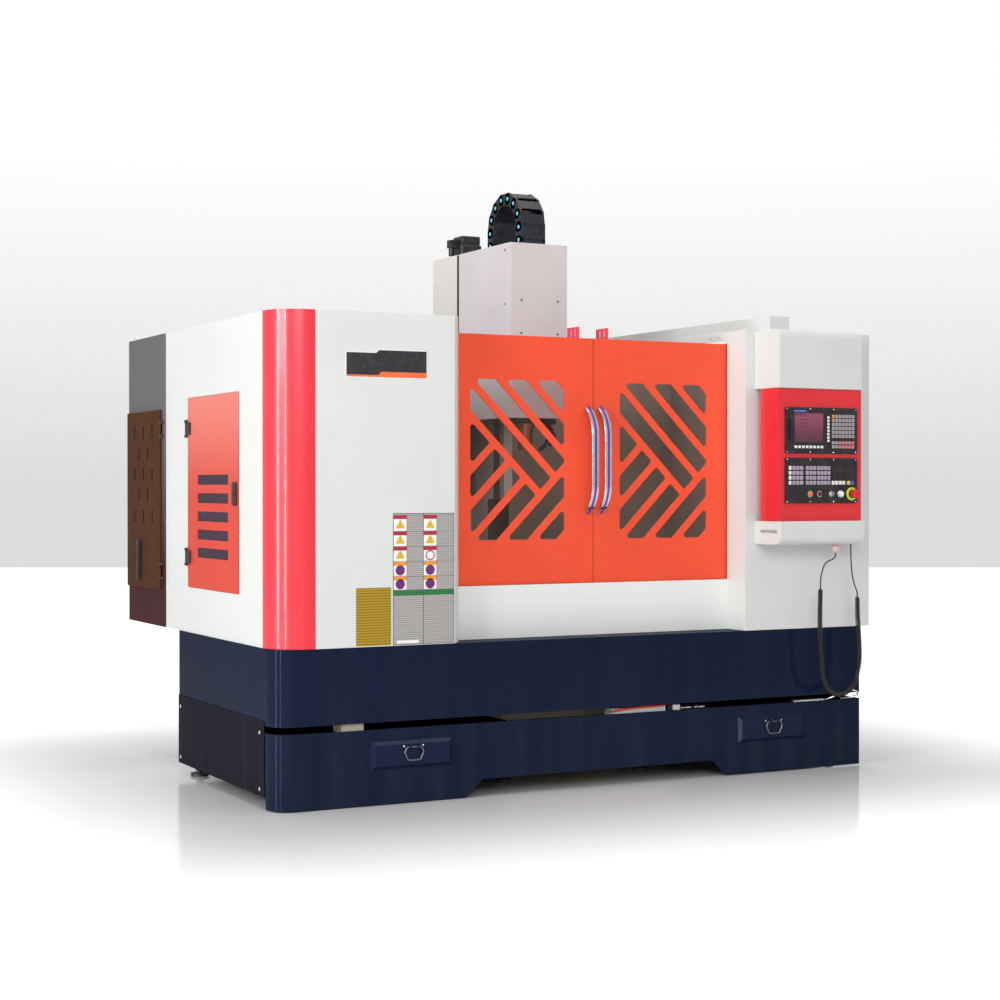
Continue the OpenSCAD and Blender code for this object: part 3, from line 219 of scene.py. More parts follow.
class Graph(Tree):
    """The node graph of one material, ending in a Principled shader."""

    def __init__(self, name: str) -> None:
        """Makes an empty material with its shader and output.

        Args:
            name: The material's name.
        """
        self.material = bpy.data.materials.new(name)
        self.material.use_nodes = True
        super().__init__(self.material.node_tree)
        self.shader = self.node("ShaderNodeBsdfPrincipled")
        self.output = self.node("ShaderNodeOutputMaterial", inputs={"Surface": self.shader.outputs[0]})
        self.output.is_active_output = True
        self.place = self.node("ShaderNodeTexCoord").outputs["Object"]

    def noise(self, scale: float, detail: float, stretch: Point | None = None) -> Value:
        """Soft noise of a given number of cycles a metre, from 0 to 1."""
        where = self.place
        if stretch:
            where = self.node("ShaderNodeMapping", inputs={"Vector": where, "Scale": stretch}).outputs[0]
        made = self.node("ShaderNodeTexNoise", inputs={"Vector": where, "Scale": scale, "Detail": detail})
        return Value(self, made.outputs[0])

    def along(self, axis: Axis) -> Value:
        """The place along one axis, in metres."""
        parts = self.node("ShaderNodeSeparateXYZ", inputs={0: self.place})
        return Value(self, parts.outputs[axis.value])

    def mix(self, share: Value, first: Colour | Socket, second: Colour | Socket) -> Socket:
        """Blend of two colours.

        Args:
            share: 0 for the first colour, 1 for the second.
            first: A colour or a colour socket.
            second: A colour or a colour socket.

        Returns:
            The blended colour's socket.
        """
        made = self.node("ShaderNodeMix", {"data_type": "RGBA", "clamp_factor": True}, {0: share})
        for number, given in ((6, first), (7, second)):
            if isinstance(given, Socket):
                self.tree.links.new(given, made.inputs[number])
            else:
                made.inputs[number].default_value = (*given, 1.0)
        return made.outputs[2]

    def part(self, source: Value) -> Value:
        """What is left of a value above its last whole number."""
        node = self.node("ShaderNodeMath", {"operation": "FRACT"}, {0: source})
        return Value(self, node.outputs[0])

    def bump(self, height: Value, strength: float, distance: float) -> None:
        """Feeds a height into the shader's normal."""
        parts = {"Height": height, "Strength": strength, "Distance": distance}
        made = self.node("ShaderNodeBump", inputs=parts)
        self.tree.links.new(made.outputs[0], self.shader.inputs["Normal"])

    def feed(self, socket: str, source: Value | Socket) -> None:
        """Links a varying value to one of the shader's sockets."""
        given = source.socket if isinstance(source, Value) else source
        self.tree.links.new(given, self.shader.inputs[socket])

    def fix(self, **values: float) -> None:
        """Sets constant shader sockets; an underscore in a name stands for a space."""
        for key, constant in values.items():
            self.shader.inputs[key.replace("_", " ").title().replace("Ior", "IOR")].default_value = constant


@dataclass(frozen=True)
class Finish:
    """A surface finish; each kind of finish makes its own material once."""

    name: str
    colour: Colour

    def material(self) -> bpy.types.Material:
        """The finish's material, made on first use."""
        name = f"{self.name}_finish"
        made = bpy.data.materials.get(name)
        if made is None:
            graph = Graph(name)
            self.wire(graph)
            made = graph.material
        return made

    def tinted(self, factor: float, lift: float = 0.0) -> Colour:
        """The colour times a factor, plus the same lift in each channel."""
        return tuple(min(1.0, part * factor + lift) for part in self.colour)

    def wire(self, graph: Graph) -> None:
        """Builds the shader."""
        raise NotImplementedError


@dataclass(frozen=True)
class Paint(Finish):
    """Sprayed paint on sheet metal: orange peel, faint mottling, dust low down and fine scuffs; an upper
    colour, where given, is blended in higher up, and on the side door that blend is a painted reflection.
    """

    roughness: float = 0.35
    coat: float = 0.2
    gloss: float = 0.3
    peel: float = 0.12
    dust: float = 0.1
    dust_colour: Colour = (0.42, 0.38, 0.33)
    cloud: float = 0.05
    dusty_to: Pair = (0.05, 0.75)
    upper: Colour | None = None
    rise: Pair = (0.8, 1.8)

    def wire(self, graph: Graph) -> None:
        """Builds the paint's shader."""
        mottle = graph.noise(3.1, 4.0)
        flecks = graph.noise(190.0, 3.0)
        streaks = graph.noise(7.0, 4.0, (1.6, 1.6, 0.16))
        low = 1 - graph.along(Axis.Z).ramp(*self.dusty_to)
        dusty = (streaks * 0.7 + flecks * 0.5).ramp(0.48, 0.8) * (low * 0.8 + 0.2) * self.dust
        deep, pale = self.tinted(1 - self.cloud), self.tinted(1 + self.cloud / 2)
        tone = graph.mix(mottle.ramp(0.3, 0.7), deep, pale)
        # Blends to the upper colour higher up; on the side door this is a painted reflection on its top.
        if self.upper:
            tone = graph.mix(graph.along(Axis.Z).ramp(*self.rise), tone, self.upper)
        graph.feed("Base Color", graph.mix(dusty, tone, self.dust_colour))
        scuffs = graph.noise(26.0, 5.0, (1.0, 1.0, 3.5)).ramp(0.56, 0.72)
        graph.feed("Roughness", self.roughness + scuffs * 0.08 + dusty * 0.5 + (mottle - 0.5) * 0.08)
        peel = graph.noise(310.0, 2.0)
        graph.bump(peel + mottle * 0.4, self.peel, 0.0006)
        graph.fix(coat_weight=self.coat, coat_roughness=0.12, specular_ior_level=self.gloss)


@dataclass(frozen=True)
class Metal(Finish):
    """Bare or plated metal, brushed along one axis, with smudges."""

    roughness: float = 0.3
    brushed: Axis = Axis.X
    grain: float = 0.1
    smudge: float = 0.15
    fine: float = 900.0
    long: float = 22.0

    def wire(self, graph: Graph) -> None:
        """Builds the metal's shader."""
        across = [self.fine] * 3
        across[self.brushed.value] = self.long
        lines = graph.noise(1.0, 3.0, tuple(across))
        smudges = graph.noise(9.0, 5.0).ramp(0.42, 0.75)
        graph.feed("Base Color", graph.mix(smudges * 0.5 + lines * 0.3, self.colour, self.tinted(0.72)))
        graph.feed("Roughness", self.roughness + lines * self.grain + smudges * self.smudge)
        graph.bump(lines, 0.1, 0.0004)
        graph.fix(metallic=1.0)


@dataclass(frozen=True)
class Casting(Finish):
    """Painted or bare cast iron with a pebbly skin."""

    roughness: float = 0.6
    oil: float = 0.2

    def wire(self, graph: Graph) -> None:
        """Builds the casting's shader."""
        pebbles = graph.noise(120.0, 4.0)
        patches = graph.noise(4.0, 5.0)
        oily = graph.noise(11.0, 4.0, (1.0, 1.0, 0.35)).ramp(0.5, 0.72) * self.oil
        mottled = graph.mix(patches, self.colour, self.tinted(1.12))
        graph.feed("Base Color", graph.mix(oily, mottled, self.tinted(0.45)))
        graph.feed("Roughness", self.roughness - oily * 0.8 + pebbles * 0.1)
        graph.bump(pebbles + patches, 0.5, 0.0015)


@dataclass(frozen=True)
class Moulded(Finish):
    """Moulded plastic or rubber with a fine spark-eroded grain."""

    roughness: float = 0.45
    grain: float = 0.25
    dust: float = 0.08

    def wire(self, graph: Graph) -> None:
        """Builds the plastic's shader."""
        grain = graph.noise(900.0, 2.0)
        worn = graph.noise(24.0, 4.0)
        dusty = (graph.noise(60.0, 4.0) * 0.6 + worn * 0.5).ramp(0.5, 0.85) * self.dust
        tone = graph.mix(worn, self.colour, self.tinted(1.15, 0.004))
        graph.feed("Base Color", graph.mix(dusty, tone, DUST))
        graph.feed("Roughness", self.roughness + worn * 0.12 + dusty)
        graph.bump(grain, self.grain, 0.0003)


@dataclass(frozen=True)
class Pane(Finish):
    """Clear polycarbonate with wiping haze and fine scratches."""

    alpha: float = 0.24

    def wire(self, graph: Graph) -> None:
        """Builds the pane's shader."""
        haze = graph.noise(5.0, 5.0, (1.0, 1.0, 0.4)).ramp(0.35, 0.8)
        scratches = graph.noise(40.0, 3.0, (1.0, 1.0, 6.0)).ramp(0.6, 0.7)
        graph.feed("Base Color", graph.mix(haze, self.colour, self.tinted(1.3)))
        graph.feed("Roughness", 0.06 + haze * 0.1 + scratches * 0.15)
        graph.feed("Alpha", self.alpha + haze * 0.05 + scratches * 0.03)
        graph.bump(haze + scratches, 0.05, 0.0004)
        graph.fix(coat_weight=0.4, coat_roughness=0.03)


@dataclass(frozen=True)
class Display(Finish):
    """A dark display behind glass, paler and faintly glowing towards its top: a painted reflection on the
    glass.
    """

    glow: Colour = (0.3, 0.05, 0.12)
    rise: Pair = (1.49, 1.64)

    def wire(self, graph: Graph) -> None:
        """Builds the display's shader."""
        wash = graph.noise(6.0, 2.0)
        # Paler and glowing higher up, with some noise: a painted reflection on the screen's glass.
        fade = graph.along(Axis.Z).ramp(*self.rise)
        graph.feed("Base Color", graph.mix(fade * 0.7 + wash * 0.4, self.colour, self.glow))
        graph.feed("Roughness", 0.12 + wash * 0.1)
        graph.feed("Emission Color", graph.mix(fade * 0.6 + wash * 0.3, self.colour, self.glow))
        graph.bump(graph.noise(700.0, 1.0), 0.03, 0.0002)
        graph.fix(emission_strength=0.12, coat_weight=0.8, coat_roughness=0.05)


@dataclass(frozen=True)
class Charted(Finish):
    """A printed plate left bare of words: a field with plain ruled rows and columns."""

    ink: Colour = (0.3, 0.3, 0.3)
    rows: float = 38.0
    columns: float = 9.0
    fill: float = 0.3
    ruling: float = 0.08
    strength: float = 0.7

    def wire(self, graph: Graph) -> None:
        """Builds the plate's shader."""
        lines = graph.part(graph.along(Axis.Z) * self.rows).above(1 - self.fill) * self.strength
        uprights = graph.part(graph.along(Axis.X) * self.columns).above(1 - self.ruling) * self.strength
        field_tone = graph.mix(graph.noise(30.0, 3.0), self.colour, self.tinted(0.9))
        graph.feed("Base Color", graph.mix(lines + uprights, field_tone, self.ink))
        graph.feed("Roughness", 0.4 + graph.noise(20.0, 3.0) * 0.2)
        graph.bump(graph.noise(500.0, 1.0), 0.05, 0.0002)


WHITE_PAINT = Paint("white_paint", srgb(212, 214, 212), 0.42, coat=0.08, peel=0.25, dust=0.05, cloud=0.02)
RED_PAINT = Paint("red_paint", srgb(226, 38, 56), 0.3, coat=0.7, gloss=0.5, peel=0.08, dust=0.04)
DOOR_PAINT = Paint("door_paint", srgb(240, 82, 50), 0.4, coat=0.08, peel=0.12, dust=0.04)
NAVY_PAINT = Paint("navy_paint", srgb(16, 27, 50), 0.3, coat=0.2, gloss=0.0, peel=0.06, dust=0.02)
CABINET_PAINT = Paint("cabinet_paint", srgb(70, 42, 46), 0.45, coat=0.06, gloss=0.0, peel=0.2, dust=0.03,
                      upper=srgb(102, 100, 103))
LINER_PAINT = Paint("liner_paint", srgb(150, 138, 126), 0.5, coat=0.05, peel=0.2, dust=0.5,
                    dust_colour=(0.12, 0.08, 0.05))
HEAD_PAINT = Paint("head_paint", srgb(212, 206, 207), 0.4, coat=0.1, peel=0.2, dust=0.06)
TAB_PAINT = Paint("tab_paint", srgb(226, 60, 92), 0.35, coat=0.2, peel=0.1, dust=0.05)
BED_CASTING = Casting("bed_casting", srgb(196, 186, 164), oil=0.12)
DARK_CASTING = Casting("dark_casting", srgb(64, 54, 50), oil=0.6)
COLUMN_CASTING = Casting("column_casting", srgb(212, 208, 202), 0.5, oil=0.05)
GROUND_STEEL = Metal("ground_steel", srgb(176, 176, 176), 0.28)
ZINC = Metal("zinc_steel", srgb(190, 190, 192), 0.3, brushed=Axis.Z, grain=0.15)
CHROME = Metal("chrome", srgb(228, 228, 232), 0.06, brushed=Axis.Z, grain=0.04, smudge=0.06)
DARK_STEEL = Metal("dark_steel", srgb(70, 70, 74), 0.42, grain=0.15)
BLACK_PLASTIC = Moulded("black_plastic", srgb(26, 26, 30), 0.4)
PANEL_PLASTIC = Moulded("panel_plastic", srgb(26, 20, 26), 0.5)
CHAIN_PLASTIC = Moulded("chain_plastic", srgb(12, 16, 28), 0.38, grain=0.3)
PIN_PLASTIC = Moulded("pin_plastic", srgb(96, 182, 214), 0.35)
RUBBER = Moulded("black_rubber", srgb(18, 18, 20), 0.62)
CORD_RUBBER = Moulded("cord_rubber", srgb(22, 20, 24), 0.4, grain=0.2)
PALE_PLASTIC = Moulded("pale_plastic", srgb(222, 190, 188), 0.35)
WHITE_KEY = Moulded("white_key", srgb(224, 222, 218), 0.45, dust=0.12)
GREY_KEY = Moulded("grey_key", srgb(150, 146, 150), 0.5, dust=0.12)
PINK_KEY = Moulded("pink_key", srgb(190, 120, 124), 0.5)
ORANGE_KEY = Moulded("orange_key", srgb(226, 130, 60), 0.45)
YELLOW_KEY = Moulded("yellow_key", srgb(226, 200, 70), 0.45)
BLUE_KEY = Moulded("blue_key", srgb(70, 120, 190), 0.45)
STOP_RED = Moulded("stop_red", srgb(196, 28, 34), 0.3, grain=0.1)
STOP_RING = Moulded("stop_ring", srgb(196, 208, 60), 0.4)
START_ORANGE = Moulded("start_orange", srgb(226, 110, 40), 0.3, grain=0.1)
HOLD_RED = Moulded("hold_red", srgb(120, 20, 30), 0.3, grain=0.1)
WINDOW_PANE = Pane("window_pane", srgb(120, 112, 106), alpha=0.03)
SCREEN_GLASS = Display("screen_glass", srgb(52, 20, 38))
CHART_PLATE = Charted("chart_plate", srgb(172, 170, 168), ink=srgb(112, 110, 108), rows=118.0, columns=2.0)
YELLOW_PLATE = Charted("yellow_plate", srgb(176, 142, 0), ink=srgb(112, 84, 4), rows=92.0,
                       columns=62.0, fill=0.4)
NAME_PLATE = Moulded("name_plate", srgb(30, 28, 34), 0.4)
PLATE_STRIPE = Moulded("plate_stripe", srgb(226, 100, 50), 0.4)
# Near black: a painted shade for the tank's lid in the dark gap under the skirt.
TANK_PAINTED_SHADE = Paint("tank_paint", srgb(12, 16, 28), 0.6, coat=0.0, gloss=0.0, peel=0.14, dust=0.03)
SIDE_NAVY = Paint("side_navy_paint", srgb(22, 22, 34), 0.36, coat=0.1, gloss=0.0, peel=0.12, dust=0.02)
DRAWER_PAINT = Paint("drawer_paint", srgb(24, 33, 58), 0.3, coat=0.2, gloss=0.0, peel=0.06, dust=0.0)
BROWN_PAINT = Paint("brown_paint", srgb(76, 50, 34), 0.42, coat=0.06, gloss=0.0, peel=0.2, dust=0.02)
# The paler upper colour towards the door's top is a painted reflection.
SIDE_DOOR_PAINT = Paint("side_door_paint", srgb(204, 58, 38), 0.36, coat=0.1, gloss=0.2, peel=0.12,
                        dust=0.03, upper=srgb(216, 118, 104), rise=(1.2, 1.75))
PENDANT_PAINT = Paint("pendant_paint", srgb(222, 38, 50), 0.36, coat=0.6, peel=0.1, dust=0.03)
SADDLE_CASTING = Casting("saddle_casting", srgb(118, 108, 98), oil=0.5)
BRONZE = Metal("bronze", srgb(176, 122, 92), 0.3, brushed=Axis.Z)
PULL_STEEL = Metal("pull_steel", srgb(120, 120, 126), 0.35, grain=0.15)
KEY_STEEL = Metal("key_steel", srgb(200, 200, 202), 0.25, grain=0.1)
GEAR_PLASTIC = Moulded("gear_plastic", srgb(196, 190, 182), 0.5)
HANDLE_LINE = Moulded("handle_line", srgb(84, 44, 156), 0.3)
VENT_SCREEN = Moulded("vent_screen", srgb(44, 26, 44), 0.7)
LILAC_KEY = Moulded("lilac_key", srgb(162, 146, 164), 0.5, dust=0.12)
DIAL_PLASTIC = Moulded("dial_plastic", srgb(20, 18, 24), 0.5)
SCREEN_INK = Moulded("screen_ink", srgb(120, 30, 60), 0.4)
PURPLE_INK = Moulded("purple_ink", srgb(98, 24, 104), 0.5)
GREEN_INK = Moulded("green_ink", srgb(24, 104, 52), 0.5)
RED_HOSE = Moulded("red_hose", srgb(226, 70, 40), 0.4)
SIGN_RED = Moulded("sign_red", srgb(158, 30, 48), 0.5)
SIGN_ORANGE = Moulded("sign_orange", srgb(216, 140, 46), 0.5)
SIGN_WHITE = Moulded("sign_white", srgb(226, 224, 220), 0.5)
SIGN_YELLOW = Moulded("sign_yellow", srgb(206, 166, 24), 0.5)
# Dark colour for the doors' meeting edges: a painted shade in the seam between them.
DOOR_SEAM_SHADE = Moulded("door_seal", srgb(46, 10, 12), 0.6)
FOOT_STEEL = Metal("foot_steel", srgb(84, 84, 88), 0.4, grain=0.15)
# A lighter copy of the white paint: painted light on the sill panel.
SILL_LIT_WHITE = Paint("sill_paint", srgb(232, 235, 232), 0.42, coat=0.08, peel=0.25, dust=0.03, cloud=0.02)
WAY_COVER = Casting("way_cover", srgb(74, 66, 60), 0.5, oil=0.4)
# Bright metal for the right drawer's top front edge: a painted highlight.
DRAWER_EDGE_HIGHLIGHT = Metal("worn_edge", srgb(196, 204, 214), 0.3, grain=0.1)


# ---------------------------------------------------------------------------------------------
# Modelling tools
# ---------------------------------------------------------------------------------------------


def stand(name: str, data: bpy.types.ID) -> Piece:
    """Makes an object from its data and links it to the scene."""
    made = bpy.data.objects.new(name, data)
    bpy.context.scene.collection.objects.link(made)
    return made


@dataclass(frozen=True)
class Span:
    """The box that a CAD node fills, with a name for each of its planes."""

    left: float
    right: float
    front: float
    back: float
    bottom: float
    top: float

    @classmethod
    def of(cls, node: str) -> "Span":
        """The span of a CAD node."""
        low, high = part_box(node)
        return cls(low.x, high.x, low.y, high.y, low.z, high.z)

    @property
    def middle(self) -> Vector:
        """The box's centre."""
        return Vector((self.left + self.right, self.front + self.back, self.bottom + self.top)) / 2


class Bench:
    """A modelling bench: each method makes or shapes one piece with Blender's own tools."""

    SPIN_WELD = 1e-5
    BAR_WELD = 1e-6
    NODE_WELD = 2e-5
    FLAT = math.radians(0.6)

    @staticmethod
    def hold(*pieces: Piece) -> None:
        """Selects only these pieces; the first is the active one."""
        if bpy.context.object and bpy.context.object.mode != "OBJECT":
            bpy.ops.object.mode_set(mode="OBJECT")
        bpy.ops.object.select_all(action="DESELECT")
        for piece in pieces:
            piece.select_set(True)
        bpy.context.view_layer.objects.active = pieces[0] if pieces else None

    @classmethod
    def settle(cls, piece: Piece, name: str) -> Piece:
        """Names a piece and puts its place into its mesh."""
        cls.hold(piece)
        bpy.ops.object.transform_apply(location=True, rotation=True, scale=True)
        piece.name = name
        return piece

    @classmethod
    def select(cls, piece: Piece, kind: str, test: Test) -> None:
        """Selects faces or edges in code and leaves the piece in edit mode.

        Args:
            piece: The piece.
            kind: FACE or EDGE.
            test: Takes an element's middle and its normal or direction.
        """
        cls.hold(piece)
        mesh = piece.data
        bpy.ops.object.mode_set(mode="EDIT")
        bpy.ops.mesh.select_mode(type=kind)
        bpy.ops.mesh.select_all(action="DESELECT")
        bpy.ops.object.mode_set(mode="OBJECT")
        if kind == "FACE":
            for face in mesh.polygons:
                face.select = test(face.center, face.normal)
        else:
            for edge in mesh.edges:
                first, last = (mesh.vertices[index].co for index in edge.vertices)
                edge.select = test((first + last) / 2, (last - first).normalized())
        bpy.ops.object.mode_set(mode="EDIT")

    @staticmethod
    def folds(piece: Piece) -> list[tuple[Vector, Vector, list[Vector]]]:
        """The two ends of each edge, and the normals of the faces that meet there."""
        mesh = piece.data
        sides: dict[tuple[int, int], list[Vector]] = {}
        for face in mesh.polygons:
            for key in face.edge_keys:
                sides.setdefault(key, []).append(face.normal.copy())
        return [(mesh.vertices[a].co, mesh.vertices[b].co, normals) for (a, b), normals in sides.items()]

    @classmethod
    def bends(cls, piece: Piece) -> dict[Pair, float]:
        """How far a surface turns at each edge, in degrees, by the edge's middle in X and Z."""
        turned: dict[Pair, float] = {}
        for first, last, normals in cls.folds(piece):
            place = (first + last) / 2
            turn = math.degrees(normals[0].angle(normals[1], 0.0)) if len(normals) == 2 else 0.0
            key = (round(place.x, 5), round(place.z, 5))
            turned[key] = max(turn, turned.get(key, 0.0))
        return turned

    @staticmethod
    def edit() -> None:
        """Enters edit mode with everything selected."""
        bpy.ops.object.mode_set(mode="EDIT")
        bpy.ops.mesh.select_all(action="SELECT")

    @staticmethod
    def done() -> None:
        """Leaves edit mode."""
        bpy.ops.object.mode_set(mode="OBJECT")

    @classmethod
    def block(cls, name: str, low: Place, high: Place, bevel: float = 0.0, segments: int = 2) -> Piece:
        """A block between two corners, with its edges bevelled.

        Args:
            name: The piece's name.
            low: Its lowest corner.
            high: Its highest corner.
            bevel: Width of the bevel.
            segments: Steps of the bevel.

        Returns:
            The block.
        """
        cls.hold()
        middle = [(a + b) / 2 for a, b in zip(low, high)]
        bpy.ops.mesh.primitive_cube_add(size=1.0, location=middle, scale=[b - a for a, b in zip(low, high)])
        piece = cls.settle(bpy.context.object, name)
        if bevel:
            cls.edit()
            bpy.ops.mesh.bevel(offset=bevel, segments=segments, affect="EDGES")
            cls.done()
        return piece

    @classmethod
    def slab(
        cls, name: str, outline: Outline, axis: Axis, low: float, high: float, bevel: float = 0.0
    ) -> Piece:
        """A plate with a given outline, drawn square to an axis and extruded along it.

        Args:
            name: The piece's name.
            outline: The corners, as the two other coordinates in their order.
            axis: The axis through the plate's thickness.
            low: Where the plate starts along the axis.
            high: Where it ends.
            bevel: Width of the bevel on all its edges.

        Returns:
            The plate.
        """
        cls.hold()
        bpy.ops.mesh.primitive_circle_add(vertices=len(outline), fill_type="NGON")
        piece = cls.settle(bpy.context.object, name)
        for vertex, (first, second) in zip(piece.data.vertices, outline):
            place = [first, second]
            place.insert(axis.value, low)
            vertex.co = place
        reach = [0.0, 0.0, 0.0]
        reach[axis.value] = high - low
        cls.edit()
        bpy.ops.mesh.extrude_region_move(TRANSFORM_OT_translate={"value": reach})
        bpy.ops.mesh.select_all(action="SELECT")
        bpy.ops.mesh.normals_make_consistent(inside=False)
        if bevel:
            bpy.ops.mesh.bevel(offset=bevel, segments=2, affect="EDGES")
        cls.done()
        return piece

    @classmethod
    def turned(cls, name: str, profile: Outline, axis: Axis, centre: Place, steps: int = 32) -> Piece:
        """A turned piece: a profile spun round an axis.

        Args:
            name: The piece's name.
            profile: Radius and place along the axis of each point; it starts and ends on the axis for a
                closed piece, and otherwise its last point is joined to its first.
            axis: The axis.
            centre: A point on the axis, from which the places are measured.
            steps: Steps of the spin.

        Returns:
            The piece.
        """
        cls.hold()
        bpy.ops.mesh.primitive_circle_add(vertices=len(profile), fill_type="NOTHING")
        piece = cls.settle(bpy.context.object, name)
        across = (axis.value + 1) % 3
        middle = Vector(centre)
        for vertex, (radius, place) in zip(piece.data.vertices, profile):
            vertex.co = middle
            vertex.co[across] += radius
            vertex.co[axis.value] += place
        if profile[0][0] == 0 and profile[-1][0] == 0:
            ends = {0, len(profile) - 1}
            cls.select(piece, "EDGE", lambda place, direction: False)
            cls.done()
            for edge in piece.data.edges:
                edge.select = set(edge.vertices) == ends
            bpy.ops.object.mode_set(mode="EDIT")
            bpy.ops.mesh.delete(type="EDGE_FACE")
            cls.done()
        direction = [0.0, 0.0, 0.0]
        direction[axis.value] = 1.0
        bpy.ops.object.mode_set(mode="EDIT")
        bpy.ops.mesh.select_mode(type="VERT")
        bpy.ops.mesh.select_all(action="SELECT")
        bpy.ops.mesh.spin(steps=steps, angle=2 * math.pi, center=middle, axis=direction)
        bpy.ops.mesh.select_all(action="SELECT")
        bpy.ops.mesh.remove_doubles(threshold=cls.SPIN_WELD)
        bpy.ops.mesh.normals_make_consistent(inside=False)
        cls.done()
        return piece

    @classmethod
    def drum(
        cls, name: str, axis: Axis, centre: Place, radius: float, length: float, bevel: float, steps: int
    ) -> Piece:
        """A short cylinder from a centre along an axis, with both rims bevelled."""
        low, high = min(0.0, length), max(0.0, length)
        inner, near, far = radius - bevel, low + bevel, high - bevel
        rim = [(0.0, low), (inner, low), (radius, near), (radius, far), (inner, high), (0.0, high)]
        return cls.turned(name, rim, axis, centre, steps)

    @classmethod
    def swept(cls, name: str, points: Line, radius: float, sides: int = 10, closed: bool = False) -> Piece:
        """A round bar or hose along a line of points, as a mesh.

        Args:
            name: The piece's name.
            points: The centreline.
            radius: The bar's radius.
            sides: Faces round the bar.
            closed: Whether the line is a loop.

        Returns:
            The bar.
        """
        cls.hold()
        bpy.ops.curve.primitive_nurbs_path_add()
        piece = cls.settle(bpy.context.object, name)
        set_line(piece.data, points, radius, sides, closed)
        bpy.ops.object.convert(target="MESH")
        piece = bpy.context.object
        cls.edit()
        bpy.ops.mesh.remove_doubles(threshold=cls.BAR_WELD)
        bpy.ops.mesh.normals_make_consistent(inside=False)
        cls.done()
        return piece

    @classmethod
    def cut(cls, piece: Piece, tool: Piece) -> Piece:
        """Cuts a tool's shape out of a piece and removes the tool."""
        cls.hold(piece)
        knife = piece.modifiers.new("cut", "BOOLEAN")
        knife.operation = "DIFFERENCE"
        knife.solver = "EXACT"
        knife.object = tool
        bpy.ops.object.modifier_apply(modifier=knife.name)
        bpy.data.objects.remove(tool)
        return piece

    @classmethod
    def soften(cls, piece: Piece, width: float, segments: int, angle: float = 32.0) -> Piece:
        """Bevels a piece's sharp edges with an applied modifier."""
        cls.hold(piece)
        bevel = piece.modifiers.new("edges", "BEVEL")
        bevel.width = width
        bevel.segments = segments
        bevel.limit_method = "ANGLE"
        bevel.angle_limit = math.radians(angle)
        bevel.use_clamp_overlap = True
        bpy.ops.object.modifier_apply(modifier=bevel.name)
        return piece

    @classmethod
    def copies(cls, name: str, pattern: Piece, places: Iterable[Matrix]) -> Piece:
        """Copies a pattern to several places, each with its own mesh, and joins them in one piece.

        Args:
            name: The joined piece's name.
            pattern: The piece to copy, which is removed.
            places: Where each copy goes.

        Returns:
            The joined piece.
        """
        made = []
        for place in places:
            copy = stand(name, pattern.data.copy())
            copy.data.transform(place)
            made.append(copy)
        bpy.data.objects.remove(pattern)
        return cls.join(name, made)

    @classmethod
    def join(cls, name: str, pieces: Sequence[Piece]) -> Piece:
        """Joins pieces into one."""
        cls.hold(*pieces)
        if len(pieces) > 1:
            bpy.ops.object.join()
        pieces[0].name = name
        return pieces[0]

    @classmethod
    def from_node(cls, node: str, bevel: float, segments: int = 2, name: str = "") -> Piece:
        """A copy of a CAD node with its triangles merged and its edges bevelled.

        Args:
            node: The CAD node.
            bevel: Width of the bevel; 0 leaves the edges sharp.
            segments: Steps of the bevel.
            name: The piece's name, if it isn't the node's with _skin.

        Returns:
            The copy.
        """
        piece = stand(name or f"{node}_skin", frame["nodes"][node].data.copy())
        piece.data.materials.clear()
        cls.hold(piece)
        cls.edit()
        bpy.ops.mesh.remove_doubles(threshold=cls.NODE_WELD)
        bpy.ops.mesh.dissolve_limited(angle_limit=cls.FLAT)
        cls.done()
        if bevel:
            cls.soften(piece, bevel, segments)
        return piece


def set_line(curve: bpy.types.Curve, points: Line, radius: float, sides: int, closed: bool = False) -> None:
    """Gives a curve one open or closed line of points and a round section.

    Args:
        curve: The curve.
        points: Its points.
        radius: Radius of the section.
        sides: Faces round the section.
        closed: Whether the line is a loop.
    """
    curve.splines.clear()
    line = curve.splines.new("POLY")
    line.points.add(len(points) - 1)
    for point, place in zip(line.points, points):
        point.co = (*place, 1.0)
    line.use_cyclic_u = closed
    line.use_smooth = True
    curve.dimensions = "3D"
    curve.bevel_depth = radius
    curve.bevel_resolution = max(0, sides // 2 - 2)
    curve.use_fill_caps = not closed


def smooth_line(points: Line, steps: int) -> list[Vector]:
    """Points along a smooth curve through a route.

    Args:
        points: The route.
        steps: New points for each stretch.

    Returns:
        The curve's points.
    """
    route = [Vector(point) for point in points]
    made = []
    for i in range(len(route) - 1):
        a, b, c, d = route[max(i - 1, 0)], route[i], route[i + 1], route[min(i + 2, len(route) - 1)]
        for k in range(steps):
            t = k / steps
            square, cube = 2 * a - 5 * b + 4 * c - d, 3 * b - 3 * c + d - a
            made.append(0.5 * (2 * b + (c - a) * t + square * t * t + cube * t**3))
    return made + [route[-1]]


def length_of(points: Sequence[Vector]) -> float:
    """Length of a line of points."""
    return sum((b - a).length for a, b in zip(points, points[1:]))


BODIES = {node: body for body, nodes in frame["record"]["behaviour"]["bodies"].items() for node in nodes}
SLOTS = {part["node"]: part["material_slot"] for part in frame["record"]["subparts"]}


